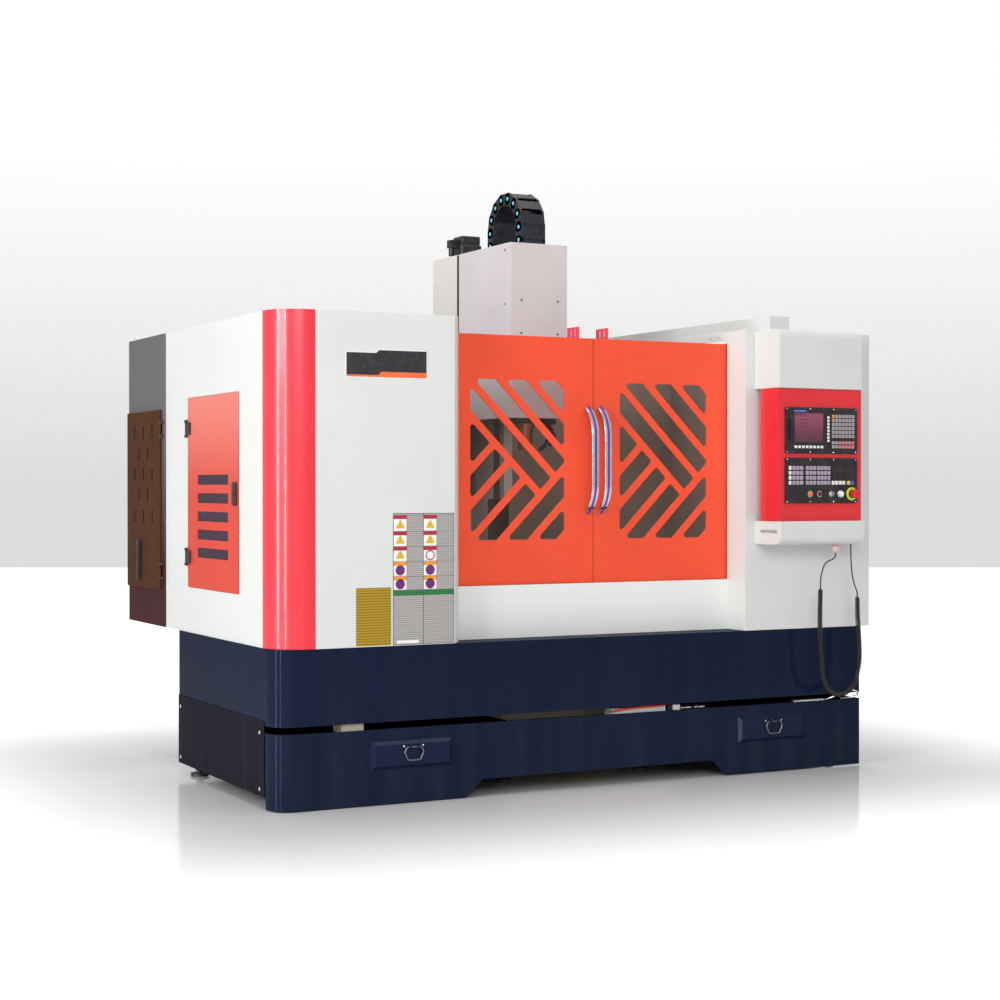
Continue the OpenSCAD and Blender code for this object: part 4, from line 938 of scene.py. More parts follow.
@dataclass
class Assembly:
    """A group of pieces that are built, dressed and reported together."""

    body: str = "machine"

    def dress(
        self, piece: Piece, finish: Finish, slot: str, *nodes: str, body: str = "", smooth: float = 35.0
    ) -> Piece:
        """Finishes a piece: its material, shading and body.

        Args:
            piece: The piece.
            finish: Its finish.
            slot: The record's material slot; not used.
            nodes: CAD nodes that it stands for.
            body: The body it rides on, if it isn't the assembly's own.
            smooth: Angle in degrees up to which its faces are shaded smooth.

        Returns:
            The piece.
        """
        if not piece.data.materials:
            piece.data.materials.append(finish.material())
        if piece.type == "MESH" and smooth:
            Bench.hold(piece)
            bpy.ops.object.shade_smooth_by_angle(angle=math.radians(smooth))
            flat = piece.modifiers.new("flat_faces", "WEIGHTED_NORMAL")
            flat.keep_sharp = True
            bpy.ops.object.modifier_apply(modifier=flat.name)
        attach(piece, body or self.body)
        if nodes:
            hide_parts(*nodes)
        log.info("%s: %s on %s", type(self).__name__, piece.name, body or self.body)
        return piece

    def skin(
        self, node: str, finish: Finish, bevel: float = 0.0015, segments: int = 2, smooth: float = 35.0
    ) -> Piece:
        """Stands a bevelled, dressed copy in for a CAD node."""
        piece = Bench.from_node(node, bevel, segments)
        return self.dress(piece, finish, SLOTS[node], node, body=BODIES[node], smooth=smooth)

    def skins(self, *rows: tuple) -> None:
        """Stands copies in for several nodes; each row holds what skin takes."""
        for row in rows:
            self.skin(*row)

    def panel(
        self, name: str, low: Place, high: Place, finish: Finish, slot: str, bevel: float = 0.0,
        segments: int = 2, smooth: float = 35.0
    ) -> Piece:
        """Adds a dressed block between two corners."""
        return self.dress(Bench.block(name, low, high, bevel, segments), finish, slot, smooth=smooth)

    @staticmethod
    def repaint(piece: Piece, finish: Finish, test: Test) -> None:
        """Gives the faces that pass a test on their middle and normal another finish."""
        piece.data.materials.append(finish.material())
        number = len(piece.data.materials) - 1
        for face in piece.data.polygons:
            if test(face.center, face.normal):
                face.material_index = number

    def screws(
        self, name: str, places: Line, axis: Axis, side: Side = Side.LEFT, radius: float = 0.005,
        height: float = 0.002, finish: Finish = CHROME, slot: str = "zinc_steel", body: str = ""
    ) -> None:
        """Domed socket-head screws at several places on faces square to an axis.

        Args:
            name: The piece's name.
            places: The screws' seats.
            axis: The axis that the screws lie along.
            side: Which way along the axis the heads look.
            radius: Radius of a head.
            height: Height of a head.
            finish: The heads' finish.
            slot: The record's slot.
            body: The body they ride on, if it isn't the assembly's own.
        """
        sunk = -0.0005
        dome = [(0.0, sunk), (radius, sunk), (radius, height * 0.45), (radius * 0.75, height),
                (radius * 0.45, height), (radius * 0.4, height * 0.3), (0.0, height * 0.3)]
        pattern = Bench.turned(name, [(out, up * side.value) for out, up in dome], axis, (0, 0, 0), 16)
        heads = Bench.copies(name, pattern, [Matrix.Translation(place) for place in places])
        self.dress(heads, finish, slot, body=body)


# ---------------------------------------------------------------------------------------------
# Camera, studio and cord
# ---------------------------------------------------------------------------------------------


@dataclass(frozen=True)
class CameraRig:
    """The camera, at the machine's front left."""

    place: Point = (-4.1114, -7.8555, 1.3031)
    tilt: float = -0.0073
    pan: float = -0.479
    lens: float = 67.31
    shift: float = 0.0072

    def build(self) -> None:
        """Makes the scene's camera."""
        data = bpy.data.cameras.new("camera")
        data.lens = self.lens
        data.sensor_width = 36.0
        data.shift_x = self.shift
        data.clip_end = 60.0
        held = stand("camera", data)
        held.location = self.place
        held.rotation_euler = (math.pi / 2 + self.tilt, 0.0, self.pan)
        bpy.context.scene.camera = held


@dataclass(frozen=True)
class Lamp:
    """One large soft lamp."""

    name: str
    place: Point
    aim: Point
    width: float
    height: float
    power: float

    def build(self) -> None:
        """Hangs the lamp and aims it."""
        data = bpy.data.lights.new(self.name, "AREA")
        data.shape = "RECTANGLE"
        data.size = self.width
        data.size_y = self.height
        data.energy = self.power
        lamp = stand(self.name, data)
        lamp.location = self.place
        lamp.rotation_euler = (Vector(self.aim) - Vector(self.place)).to_track_quat("-Z", "Y").to_euler()


@dataclass
class Studio:
    """A pale floor, a pale backdrop and soft lamps."""

    floor_size: float = 60.0
    floor_white: float = 0.8
    floor_glow: float = 0.6
    # Distances from the machine's footprint over which the floor's glow fades in; nearer the machine the
    # missing glow is a painted shade.
    clear: Pair = (0.0, 2.0)
    ambient: float = 0.55
    wall_grey: float = 0.72
    wall_top: float = 0.17
    lamps: tuple[Lamp, ...] = (
        Lamp("key_lamp", (-9.0, -3.5, 4.2), (-0.6, 0.0, 1.2), 4.0, 4.0, 370.0),
        Lamp("strip_lamp", (-9.4, -1.93, 1.7), (-1.45, -0.88, 1.7), 0.6, 3.4, 125.0),
        Lamp("corner_lamp", (-8.07, -5.33, 1.72), (-1.44, -0.86, 1.7), 0.25, 3.4, 85.0),
        Lamp("front_lamp", (-3.5, -10.5, 4.6), (0.0, 0.0, 1.0), 5.0, 3.0, 350.0),
        Lamp("top_lamp", (0.0, 0.5, 7.5), (0.0, 0.0, 0.0), 6.0, 5.0, 250.0),
        Lamp("back_lamp", (3.0, 8.0, 4.0), (0.0, 0.0, 1.2), 5.0, 3.0, 200.0),
    )

    def build(self) -> None:
        """Makes the floor, the world and the lamps."""
        self._floor()
        self._world()
        for lamp in self.lamps:
            lamp.build()

    def _floor(self) -> None:
        """Makes the floor, which keeps the machine's shadow and reflection and is plain white further off;
        near the machine its glow fades out, a painted shade round the base.
        """
        rig = CameraRig()
        Bench.hold()
        under = (*rig.place[:2], 0.0)
        bpy.ops.mesh.primitive_plane_add(size=self.floor_size, location=under, rotation=(0.0, 0.0, rig.pan))
        floor = Bench.settle(bpy.context.object, "floor")
        graph = Graph("floor_paint")
        seen = Value(graph, graph.node("ShaderNodeLightPath").outputs["Is Camera Ray"])
        speckle = graph.noise(3.0, 3.0)
        white = self.floor_white
        graph.feed("Base Color", graph.mix(speckle, (white, white, white), (white * 0.985,) * 3))
        graph.feed("Roughness", 0.1 + speckle * 0.03)
        graph.fix(specular_ior_level=0.5)
        # The glow on camera rays fades out towards the machine's footprint: a painted shade on the floor
        # round the base.
        (left, front, _), (right, back, _) = CAD_BOX
        across = (graph.along(Axis.X) - (left + right) / 2).size() - (right - left) / 2
        deep = (graph.along(Axis.Y) - (front + back) / 2).size() - (back - front) / 2
        past_painted_shade = ((across.positive() ** 2 + deep.positive() ** 2) ** 0.5).ramp(*self.clear)
        glow = graph.node("ShaderNodeEmission", inputs={"Color": WHITE, "Strength": self.floor_glow})
        lit = graph.node("ShaderNodeAddShader", inputs={0: graph.shader.outputs[0], 1: glow.outputs[0]})
        sides = {0: seen * past_painted_shade, 1: graph.shader.outputs[0], 2: lit.outputs[0]}
        shown = graph.node("ShaderNodeMixShader", inputs=sides)
        graph.tree.links.new(shown.outputs[0], graph.output.inputs[0])
        floor.data.materials.append(graph.material)

    def _world(self) -> None:
        """Lights the scene evenly and shows a pale wall that fades to white above."""
        world = bpy.data.worlds.new("studio_world")
        bpy.context.scene.world = world
        world.use_nodes = True
        tree = Tree(world.node_tree)
        ray = tree.node("ShaderNodeTexCoord").outputs["Generated"]
        rise = tree.node("ShaderNodeSeparateXYZ", inputs={0: ray}).outputs["Z"]
        limits = {"Value": rise, "From Min": 0.0, "From Max": self.wall_top}
        fade = tree.node("ShaderNodeMapRange", inputs=limits)
        tones = {0: fade.outputs[0], 6: (*(self.wall_grey,) * 3, 1.0), 7: WHITE}
        wall = tree.node("ShaderNodeMix", {"data_type": "RGBA"}, tones)
        light = tree.node("ShaderNodeBackground", inputs={0: WHITE, 1: self.ambient})
        shown = tree.node("ShaderNodeBackground", inputs={0: wall.outputs[2]})
        path = tree.node("ShaderNodeLightPath").outputs
        rays = {0: path["Is Camera Ray"], 1: path["Is Transmission Ray"]}
        seen = tree.node("ShaderNodeMath", {"operation": "MAXIMUM"}, rays)
        parts = {0: seen.outputs[0], 1: light.outputs[0], 2: shown.outputs[0]}
        mixed = tree.node("ShaderNodeMixShader", inputs=parts)
        tree.node("ShaderNodeOutputWorld", inputs={0: mixed.outputs[0]})


@dataclass
class HandwheelCord(Assembly):
    """The curly cord that hangs from a plug under the shelf and goes back up into the shelf."""

    wire: float = 0.006
    turn_radius: float = 0.009
    pitch: float = 0.008
    steps: int = 14
    lead_in: Outline = (
        (372, -42), (371, -58), (355, -72), (332, -80), (309, -97), (293, -137), (287, -172), (287, -204),
    )
    coil: Outline = (
        (287, -204), (284, -302), (284, -402), (289, -502), (301, -602), (329, -664), (387, -692),
        (449, -676), (489, -622), (509, -542), (507, -442), (499, -342), (497, -245),
    )
    lead_out: Outline = ((497, -245), (495, -222), (481, -192), (467, -142), (461, -82), (459, 0))

    def _route(self, corners: Outline, steps: int) -> list[Vector]:
        """A smooth line through corners in millimetres from the pendant's left and the shelf's underside."""
        left, under = Span.of("pendant_body").left, Span.of("pendant_shelf").bottom
        depth = Span.of("cord_coil").middle.y
        return smooth_line([(left + x / 1000, depth, under + z / 1000) for x, z in corners], steps)

    def _helix(self) -> list[Vector]:
        """The coil's turns round its route, opening out from it at both ends."""
        route = self._route(self.coil, 16)
        reach = [0.0]
        for a, b in zip(route, route[1:]):
            reach.append(reach[-1] + (b - a).length)
        turns = int(reach[-1] / self.pitch)
        made, i = [], 0
        for step in range(turns * self.steps + 1):
            at = reach[-1] * step / (turns * self.steps)
            while i < len(route) - 2 and reach[i + 1] < at:
                i += 1
            along = (route[i + 1] - route[i]).normalized()
            middle = route[i] + along * (at - reach[i])
            opened = min(1.0, step / self.steps, turns - step / self.steps)
            angle = 2 * math.pi * step / self.steps
            sideways = along.cross(Vector((0, 1, 0)))
            spoke = math.cos(angle) * Vector((0, 1, 0)) + math.sin(angle) * sideways
            made.append(middle + self.turn_radius * opened * spoke)
        return made

    def build(self) -> None:
        """Makes the cord and its plug."""
        line = self._route(self.lead_in, 3)[:-1] + self._helix() + self._route(self.lead_out, 3)[1:]
        curve = bpy.data.curves.new("handwheel_cord", "CURVE")
        set_line(curve, line, self.wire / 2, 8)
        cord = stand("handwheel_cord", curve)
        self.dress(cord, CORD_RUBBER, "cord_rubber", "cord_coil", "cord_leads")
        plug = self._plug()
        length_of(line)
        log.info("cord: %.2f m of wire", length_of(line))

    def _plug(self) -> Piece:
        """The pale plug with its ribbed collar."""
        span = Span.of("cord_plug")
        centre = (span.middle.x, span.middle.y, span.bottom)
        collar = 0.5 * (span.right - span.left)
        tall = span.top - span.bottom
        neck = collar - 0.003
        shell = [(0.0, 0.0), (0.006, 0.0), (0.010, 0.003), (0.0145, 0.009), (0.0145, 0.011), (collar, 0.012),
                 (collar, 0.018), (neck, 0.019), (neck, 0.022), (collar, 0.023), (collar, 0.031),
                 (0.015, 0.033), (0.015, tall), (0.0, tall)]
        plug = Bench.turned("cord_plug_shell", shell, Axis.Z, centre)
        return self.dress(plug, PALE_PLASTIC, "pale_plastic", "cord_plug")


# ---------------------------------------------------------------------------------------------
# The machine's sub-assemblies
# ---------------------------------------------------------------------------------------------


@dataclass
class Base(Assembly):
    """Feet, coolant tank, its covers, the skirt and what shows in the gap between them."""

    screw: float = 0.0085
    duct: Pair = (1.576, 1.855)
    return_block: Pair = (0.300, 0.400)
    hose: float = 0.005
    rib_pitch: float = 0.0036

    def build(self) -> None:
        """Builds the base."""
        self.skins(
            ("levelling_feet", FOOT_STEEL, 0.001),
            # The tank's near-black colour is painted shade for the gap under the skirt.
            ("coolant_tank", TANK_PAINTED_SHADE, 0.002),
            ("tank_fascia", NAVY_PAINT, 0.0012),
            ("tank_side_covers", SIDE_NAVY, 0.001),
            ("base_skirt", NAVY_PAINT),
        )
        self._cover_screws()
        self._gap_fittings()
        self._conduit()

    def _cover_screws(self) -> None:
        """Bright screws in the corners of the tank's end covers."""
        span = Span.of("tank_side_covers")
        first = Span.of("tank_fascia").back + 0.052
        for side, x in ((Side.LEFT, span.left), (Side.RIGHT, span.right)):
            name = f"{side.name.lower()}_cover_screws"
            rows = (span.bottom + 0.03, span.top - 0.05)
            places = [(x, y, z) for y in (first, span.back - 0.04) for z in rows]
            self.screws(name, places, Axis.X, side, self.screw, 0.003)

    def _gap_fittings(self) -> None:
        """The duct with its red hose, its strap and connectors, and the cast block left of them."""
        left, front = Span.of("tank_fascia").left, Span.of("tank_fascia").front
        lid = Span.of("coolant_tank").top
        start, end = left + self.duct[0], left + self.duct[1]

        def at(x: float, y: float, z: float) -> Point:
            """A place measured from the duct's right end, the fascia's front and the tank's lid."""
            return end + x, front + y, lid + z

        near, far = (start, front + 0.03, lid), at(0, 0.09, 0.032)
        self.panel("gap_duct", near, far, WHITE_PAINT, "white_paint", 0.002)
        line = [(start - 0.004, front + 0.026, lid + 0.02), (start + 0.10, front + 0.026, lid + 0.029)]
        line += [at(-0.05, 0.027, 0.032), at(0.01, 0.04, 0.033), at(0.03, 0.09, 0.02)]
        hose = Bench.swept("gap_red_hose", smooth_line(line, 6), self.hose)
        self.dress(hose, RED_HOSE, "red_paint", smooth=60.0)
        self.panel("gap_strap", at(0.008, 0.02, 0), at(0.03, 0.10, 0.036), RUBBER, "black_plastic", 0.002)
        near, far = at(0.036, 0.025, 0), at(0.075, 0.07, 0.034)
        self.panel("gap_clip", near, far, WHITE_KEY, "pale_plastic", 0.004, 3)
        nut = [(0.0, 0.0), (0.012, 0.0), (0.012, 0.014), (0.008, 0.016), (0.008, 0.024), (0.013, 0.026),
               (0.013, 0.05), (0.009, 0.054), (0.009, 0.06), (0.0, 0.06)]
        for number, shift in enumerate((0.08, 0.15)):
            fitting = Bench.turned(f"gap_fitting_{number}", nut, Axis.X, at(shift, 0.04, 0.014), 12)
            self.dress(fitting, CHROME, "zinc_steel")
        near, far = (left + edge for edge in self.return_block)
        low, high = (near, front + 0.03, lid), (far, front + 0.12, lid + 0.038)
        self.panel("return_block", low, high, BED_CASTING, "casting_paint", 0.004)

    def _conduit(self) -> None:
        """The corrugated conduit on the tank's lid and the bent pipe that leaves its end."""
        span = Span.of("conduit")
        radius = 0.5 * (span.top - span.bottom)
        ribs: list[Pair] = [(0.0, 0.0)]
        step = self.rib_pitch
        count = int((span.right - span.left) / step)
        for i in range(count):
            ribs += [(radius - 0.0016, i * step), (radius, (i + 0.35) * step), (radius, (i + 0.65) * step)]
        ribs += [(radius - 0.0016, count * step), (0.0, count * step)]
        end = (span.left, span.middle.y, span.bottom + radius)
        tube = Bench.turned("conduit_ribbed", ribs, Axis.X, end, 16)
        self.dress(tube, ZINC, "zinc_steel", "conduit", smooth=50.0)
        route = ((-0.01, 0, 0), (0.02, -0.008, 0.004), (0.05, -0.04, 0.024), (0.10, -0.055, 0.046),
                 (0.15, -0.05, 0.040), (0.175, -0.035, 0.022), (0.15, -0.015, 0.006), (0.10, 0, 0.002))
        bend = [(span.right + a, span.middle.y + b, span.bottom + radius + c) for a, b, c in route]
        pipe = Bench.swept("conduit_pipe", smooth_line(bend, 6), 0.0045)
        self.dress(pipe, CHROME, "zinc_steel", smooth=60.0)


@dataclass
class Drawer(Assembly):
    """A strainer drawer with its bracket and drop pull."""

    hand: Side = Side.LEFT
    rod: float = 0.004

    def build(self) -> None:
        """Builds the drawer's front, tray and bracket, and its pull."""
        name = self.hand.name.lower()
        drawer = self.skin(f"{name}_drawer", DRAWER_PAINT, 0.0012)
        lip = Span.of(f"{name}_drawer")
        # Painted highlight: the right drawer's top front edge is given bright metal.
        if self.hand is Side.RIGHT:
            low, deep = lip.top - 0.02, lip.front + 0.012
            self.repaint(drawer, DRAWER_EDGE_HIGHLIGHT, lambda at, normal: normal.z > 0.3 and at.y < deep and at.z > low)
        pull = Span.of(f"{name}_pull")
        half, tall = 0.5 * (pull.right - pull.left) - self.rod, pull.top - pull.bottom - 2 * self.rod
        x, y, z = pull.middle.x, pull.middle.y, pull.top - self.rod
        right = ((0.7, 0.0), (0.86, -0.1), (1.0, -0.36), (0.95, -0.55), (0.68, -0.95), (0.5, -1.0))
        ring = [(-0.7, 0.0), *right, *((-a, b) for a, b in right[:0:-1])]
        line = [(x + a * half, y, z + b * tall) for a, b in ring]
        loop = Bench.swept(f"{name}_pull_ring", line, self.rod, 12, True)
        self.dress(loop, PULL_STEEL, "zinc_steel", f"{name}_pull", body=f"{name}_pull", smooth=60.0)
        seats = [(x + shift, lip.front + 0.013, z + 0.004) for shift in (-0.043, 0.043)]
        self.screws(f"{name}_bracket_screws", seats, Axis.Y, radius=0.004, body=f"{name}_drawer")


@dataclass
class Enclosure(Assembly):
    """The sheet-metal walls round the machine, with the bare plates on the front."""

    border: float = 0.004
    name_plate: Pair = (0.366, 0.118)
    edge: float = 0.0002
    cell: float = 0.058
    head: float = 0.016
    rule: float = 0.0012
    frame: float = 0.002
    ink: float = 0.0008
    layers: tuple[float, ...] = (0.0012, 0.0014, 0.0018, 0.0021)

    def build(self) -> None:
        """Builds the walls and the plates."""
        for node in ("left_front_panel", "right_front_panel", "right_side_panel", "rear_panels", "top_beam"):
            self.skin(node, WHITE_PAINT)
        # The sill gets the lighter copy of the white paint: painted light.
        self.skin("sill_panel", SILL_LIT_WHITE)
        self.skin("corner_column", RED_PAINT, 0.001, smooth=40.0)
        side = Bench.from_node("left_side_panel", 0.0008)
        self.dress(side, WHITE_PAINT, "white_paint", "left_side_panel")
        face = Span.of("side_door").right - 0.015
        self.repaint(side, BLACK_PLASTIC, lambda place, normal: place.x < face - 0.001)
        self._name_plate()
        self._charts()
        self._jamb_screws()

    def _name_plate(self) -> None:
        """The dark plate with its pale border and orange stripe."""
        span = Span.of("front_plates")
        (wide, tall), rim = self.name_plate, self.border
        # Name, finish, inset, top, ends of the step's slope, top of the low part, and both planes.
        plates = (
            ("name_plate_border", WHITE_KEY, 0.0, tall, 0.146, 0.134, 0.106, 0.0, 0.0010),
            ("name_plate_face", NAME_PLATE, rim, tall - rim, 0.148, 0.136, 0.106 - rim, 0.0004, 0.0015),
            ("name_plate_stripe", PLATE_STRIPE, rim, 0.026, 0.158, 0.146, 0.012, 0.0012, 0.0019),
        )
        for name, finish, edge, high, step, slope, lower, near, far in plates:
            end = wide - edge
            outline = ((edge, edge), (end, edge), (end, high), (step, high), (slope, lower), (edge, lower))
            outline = [(span.left + x, span.top - tall + z) for x, z in outline]
            plate = Bench.slab(name, outline, Axis.Y, span.back - far, span.back - near, self.edge)
            nodes = () if edge else ("front_plates",)
            self.dress(plate, finish, "label_plate", *nodes)

    def _charts(self) -> None:
        """The yellow plate and the grey plate with plain coloured squares and bars."""
        span = Span.of("front_plates")
        right, low, front = span.right, span.bottom, span.back
        corners = (right - 0.442, front - 0.001, low + 0.001), (right - 0.287, front, low + 0.237)
        self.panel("yellow_chart", *corners, YELLOW_PLATE, "label_plate", self.edge, 1)
        corners = (right - 0.278, front - 0.001, low), (right, front, low + 0.540)
        self.panel("grey_chart", *corners, CHART_PLATE, "label_plate", self.edge, 1)
        ruled, filled, inked, topmost = (front - depth for depth in self.layers)
        rows = ((0.532, 0.467), (0.4655, 0.4045), (0.403, 0.343), (0.3415, 0.283), (0.2805, 0.226))
        columns = (right - 0.275, right - 0.139)
        cells = [(x, low + high, low + lower) for high, lower in rows for x in columns]
        whites = [(x, z - 0.001, self.cell, z - below - 0.002) for x, z, below in cells]
        self._marks("sign_cells", SIGN_WHITE, whites, filled)
        heads = [(x, z, self.cell, self.head) for x, z, _ in cells]
        self._marks("sign_heads", SIGN_RED, heads[:6], inked)
        self._marks("sign_heads_low", SIGN_ORANGE, heads[6:], inked)
        bars = [(right - x, low + 0.2245, wide, 0.0225) for x, wide in ((0.276, 0.134), (0.139, 0.137))]
        self._marks("chart_bars", GREEN_INK, bars, filled)
        lines = [(right - x, low + 0.540, self.frame, 0.540) for x in (0.278, 0.1415, self.frame)]
        lines += [(right - 0.278, low + z, 0.278, self.frame) for z in (0.540, self.frame)]
        lines += [(right - 0.276, low + z, 0.274, self.rule) for z, _ in rows]
        lines += [(x + 0.0585, low + 0.532, self.rule, 0.306) for x in columns]
        self._marks("chart_lines", BLACK_PLASTIC, lines, ruled)
        self._marks("chart_foot", SIGN_WHITE, [(right - 0.262, low + 0.018, 0.1, 0.012)], filled)
        icons = [(x + 0.029, below + 0.023) for x, _, below in cells]
        self._signs("sign_triangles", SIGN_YELLOW, icons[:5], 3, 0.024, inked)
        self._signs("sign_discs", PURPLE_INK, icons[6:], 24, 0.021, inked)
        self._signs("sign_ring", SIGN_RED, icons[5:6], 24, 0.021, inked)
        self._signs("sign_ring_field", SIGN_WHITE, icons[5:6], 24, 0.016, topmost)

    def _marks(self, name: str, finish: Finish, marks: Rows, front: float) -> None:
        """Plain printed rectangles as one piece.

        Args:
            name: The piece's name.
            finish: Its finish.
            marks: Left, top, width and height of each.
            front: The plane that they show.
        """
        back = front + self.ink
        made = [Bench.block("mark", (x, front, z - high), (x + wide, back, z)) for x, z, wide, high in marks]
        self.dress(Bench.join(name, made), finish, "label_plate", smooth=0.0)

    def _signs(
        self, name: str, finish: Finish, places: Outline, sides: int, radius: float, front: float
    ) -> None:
        """Plain printed triangles or discs as one piece."""
        made = []
        for x, z in places:
            ring = [math.pi / 2 + 2 * math.pi * i / sides for i in range(sides)]
            outline = [(x + radius * math.cos(turn), z + radius * math.sin(turn)) for turn in ring]
            made.append(Bench.slab("sign", outline, Axis.Y, front, front + self.ink))
        self.dress(Bench.join(name, made), finish, "label_plate", smooth=0.0)

    def _jamb_screws(self) -> None:
        """Two small screws at the top of the right block's wall, over the doors' slot."""
        block = Span.of("right_front_panel")
        places = [(block.left, block.front + back, block.top - 0.024) for back in (0.2115, 0.276)]
        look = {"finish": DARK_STEEL, "slot": "black_plastic"}
        self.screws("jamb_screws", places, Axis.X, radius=0.0035, height=0.001, **look)


@dataclass
class Cabinet(Assembly):
    """The electrical cabinet, its gear, its door with louvres and its lever."""

    row_pitch: float = 0.1
    column_pitch: float = 0.140
    rows: int = 5
    first_row: float = 0.099
    first_column: float = 0.132

    def build(self) -> None:
        """Builds the cabinet."""
        box = Bench.from_node("electrical_cabinet", 0.0012)
        self.dress(box, CABINET_PAINT, SLOTS["electrical_cabinet"], "electrical_cabinet")
        face = Span.of("cabinet_door").right
        self.repaint(box, BLACK_PLASTIC, lambda place, normal: place.x < face - 0.001)
        self.skins(
            ("cabinet_gear", GEAR_PLASTIC, 0.002),
            ("cabinet_door", BROWN_PAINT, 0.0008),
            ("cabinet_handle", BLACK_PLASTIC, 0.004, 3),
        )
        self._louvre_hoods()

    def _louvre_hoods(self) -> None:
        """The pressed hood beside each short slit."""
        door = Span.of("cabinet_door")
        rim = [(0.0, -0.033), (0.002, -0.031), (0.0032, -0.02), (0.0032, 0.02), (0.002, 0.031), (0.0, 0.033)]
        pattern = Bench.turned("louvre", rim, Axis.Z, (0, 0, 0), 12)
        places = []
        for row in range(self.rows):
            z = door.top - self.first_row - row * self.row_pitch
            for i in range(3 if row % 2 == 0 else 2):
                y = door.front + self.first_column + (i + row % 2 / 2) * self.column_pitch
                places.append(Matrix.Translation((door.left + 0.012, y, z)))
        hoods = Bench.copies("cabinet_louvres", pattern, places)
        self.dress(hoods, BROWN_PAINT, "charcoal_paint", body="cabinet_door", smooth=60.0)


@dataclass
class SlidingDoor(Assembly):
    """A sliding door with its ribbed window, pane, interlock tab and bowed handle."""

    hand: Side = Side.LEFT
    corner: float = 0.0125
    edge: float = 0.0012
    strip: float = 0.3
    lap: float = 0.013
    fillet_steps: int = 5
    sharp: float = 40.0
    tab: float = 0.05

    def build(self) -> None:
        """Builds the door."""
        name = self.hand.name.lower()
        body = f"{name}_door"
        pane, door = Span.of(f"{name}_window"), Span.of(body)
        panel = Bench.from_node(body, 0.0)
        fillets = self._fillets(panel, pane)
        bend = Bench.bends(panel)
        Bench.select(
            panel,
            "EDGE",
            lambda place, along: bend.get((round(place.x, 5), round(place.z, 5)), 0.0) > self.sharp
            and not (pane.left < place.x < pane.right and pane.bottom < place.z < pane.top),
        )
        bpy.ops.mesh.bevel(offset=self.edge, segments=2, affect="EDGES")
        Bench.done()
        panel = Bench.join(f"{body}_skin", [panel, *fillets])
        self.dress(panel, DOOR_PAINT, "red_paint", body, body=body, smooth=0.0)
        # The meeting edge of each door is painted dark: a painted shade in the seam between the doors.
        meet = -1.0 if self.hand is Side.RIGHT else 1.0
        seam = door.left if self.hand is Side.RIGHT else door.right
        self.repaint(panel, DOOR_SEAM_SHADE, lambda at, normal: normal.x * meet > 0.3 and abs(at.x - seam) < 0.003)
        shoulder = door.top - self.tab + 0.0005
        self.repaint(panel, TAB_PAINT, lambda place, normal: place.z > shoulder)
        self.skin(f"{name}_window", WINDOW_PANE, 0.0, smooth=0.0)
        self._handle(name, body)

    def _fillets(self, panel: Piece, pane: Span) -> list[Piece]:
        """Fillets in the corners of the window openings, all of one radius.

        Args:
            panel: The door's panel, with sharp corners.
            pane: The pane behind the openings.

        Returns:
            A small solid for each corner.
        """
        lap, steps = self.lap, self.fillet_steps
        made = []
        for start, end, normals in Bench.folds(panel):
            if len(normals) != 2 or (end - start).normalized().cross(Vector((0, 1, 0))).length > 0.01:
                continue
            inside = pane.left + lap < start.x < pane.right - lap
            if not (inside and pane.bottom + lap < start.z < pane.top - lap):
                continue
            one, two = normals
            if one.angle(two) < 0.3:
                continue
            along = (two - one * one.dot(two)).normalized()
            across = (one - two * two.dot(one)).normalized()
            half = along.angle(across) / 2
            reach = self.corner / math.tan(half)
            corner = Vector((start.x, 0.0, start.z))
            middle = corner + (along + across).normalized() * (self.corner / math.sin(half))
            outward, swing = corner + along * reach - middle, math.pi - 2 * half
            turn = 1.0 if outward.cross(corner + across * reach - middle).y > 0 else -1.0
            turns = [Matrix.Rotation(turn * swing * i / steps, 3, "Y") for i in range(steps + 1)]
            arc = [middle + spin @ outward for spin in turns]
            outline = [(corner.x, corner.z)] + [(point.x, point.z) for point in arc]
            made.append(Bench.slab("fillet", outline, Axis.Y, min(start.y, end.y), max(start.y, end.y)))
        return made

    def _handle(self, name: str, body: str) -> None:
        """The chrome bar with the dark line down its middle."""
        node = f"{name}_handle"
        self.skin(node, CHROME, 0.0035, 4, 60.0)
        middle = Span.of(node).middle.x
        line = Bench.from_node(node, 0.0, name=f"{name}_handle_line")
        Bench.hold(line)
        Bench.edit()
        bpy.ops.transform.resize(value=(self.strip, 1.0, 1.0), center_override=(middle, 0.0, 0.0))
        bpy.ops.transform.translate(value=(0.0, -0.0006, 0.0))
        Bench.done()
        self.dress(line, HANDLE_LINE, "chrome", body=body, smooth=60.0)


@dataclass
class SideDoor(Assembly):
    """The hinged red door on the left side, with its vents, screen and latch."""

    body: str = "side_door"

    def build(self) -> None:
        """Builds the side door."""
        door = Bench.from_node("side_door", 0.001)
        self.dress(door, SIDE_DOOR_PAINT, "red_paint", "side_door")
        span = Span.of("side_door")
        face = span.right - 0.018
        self.repaint(door, BLACK_PLASTIC, lambda place, normal: place.x < face - 0.0004)
        low = (face + 0.0032, span.front + 0.118, span.bottom + 0.12)
        high = (face + 0.0046, span.front + 0.54, span.bottom + 0.52)
        self.panel("side_door_screen", low, high, VENT_SCREEN, "black_plastic", smooth=0.0)
        self.skin("side_latch", BLACK_PLASTIC, 0.002, 3)


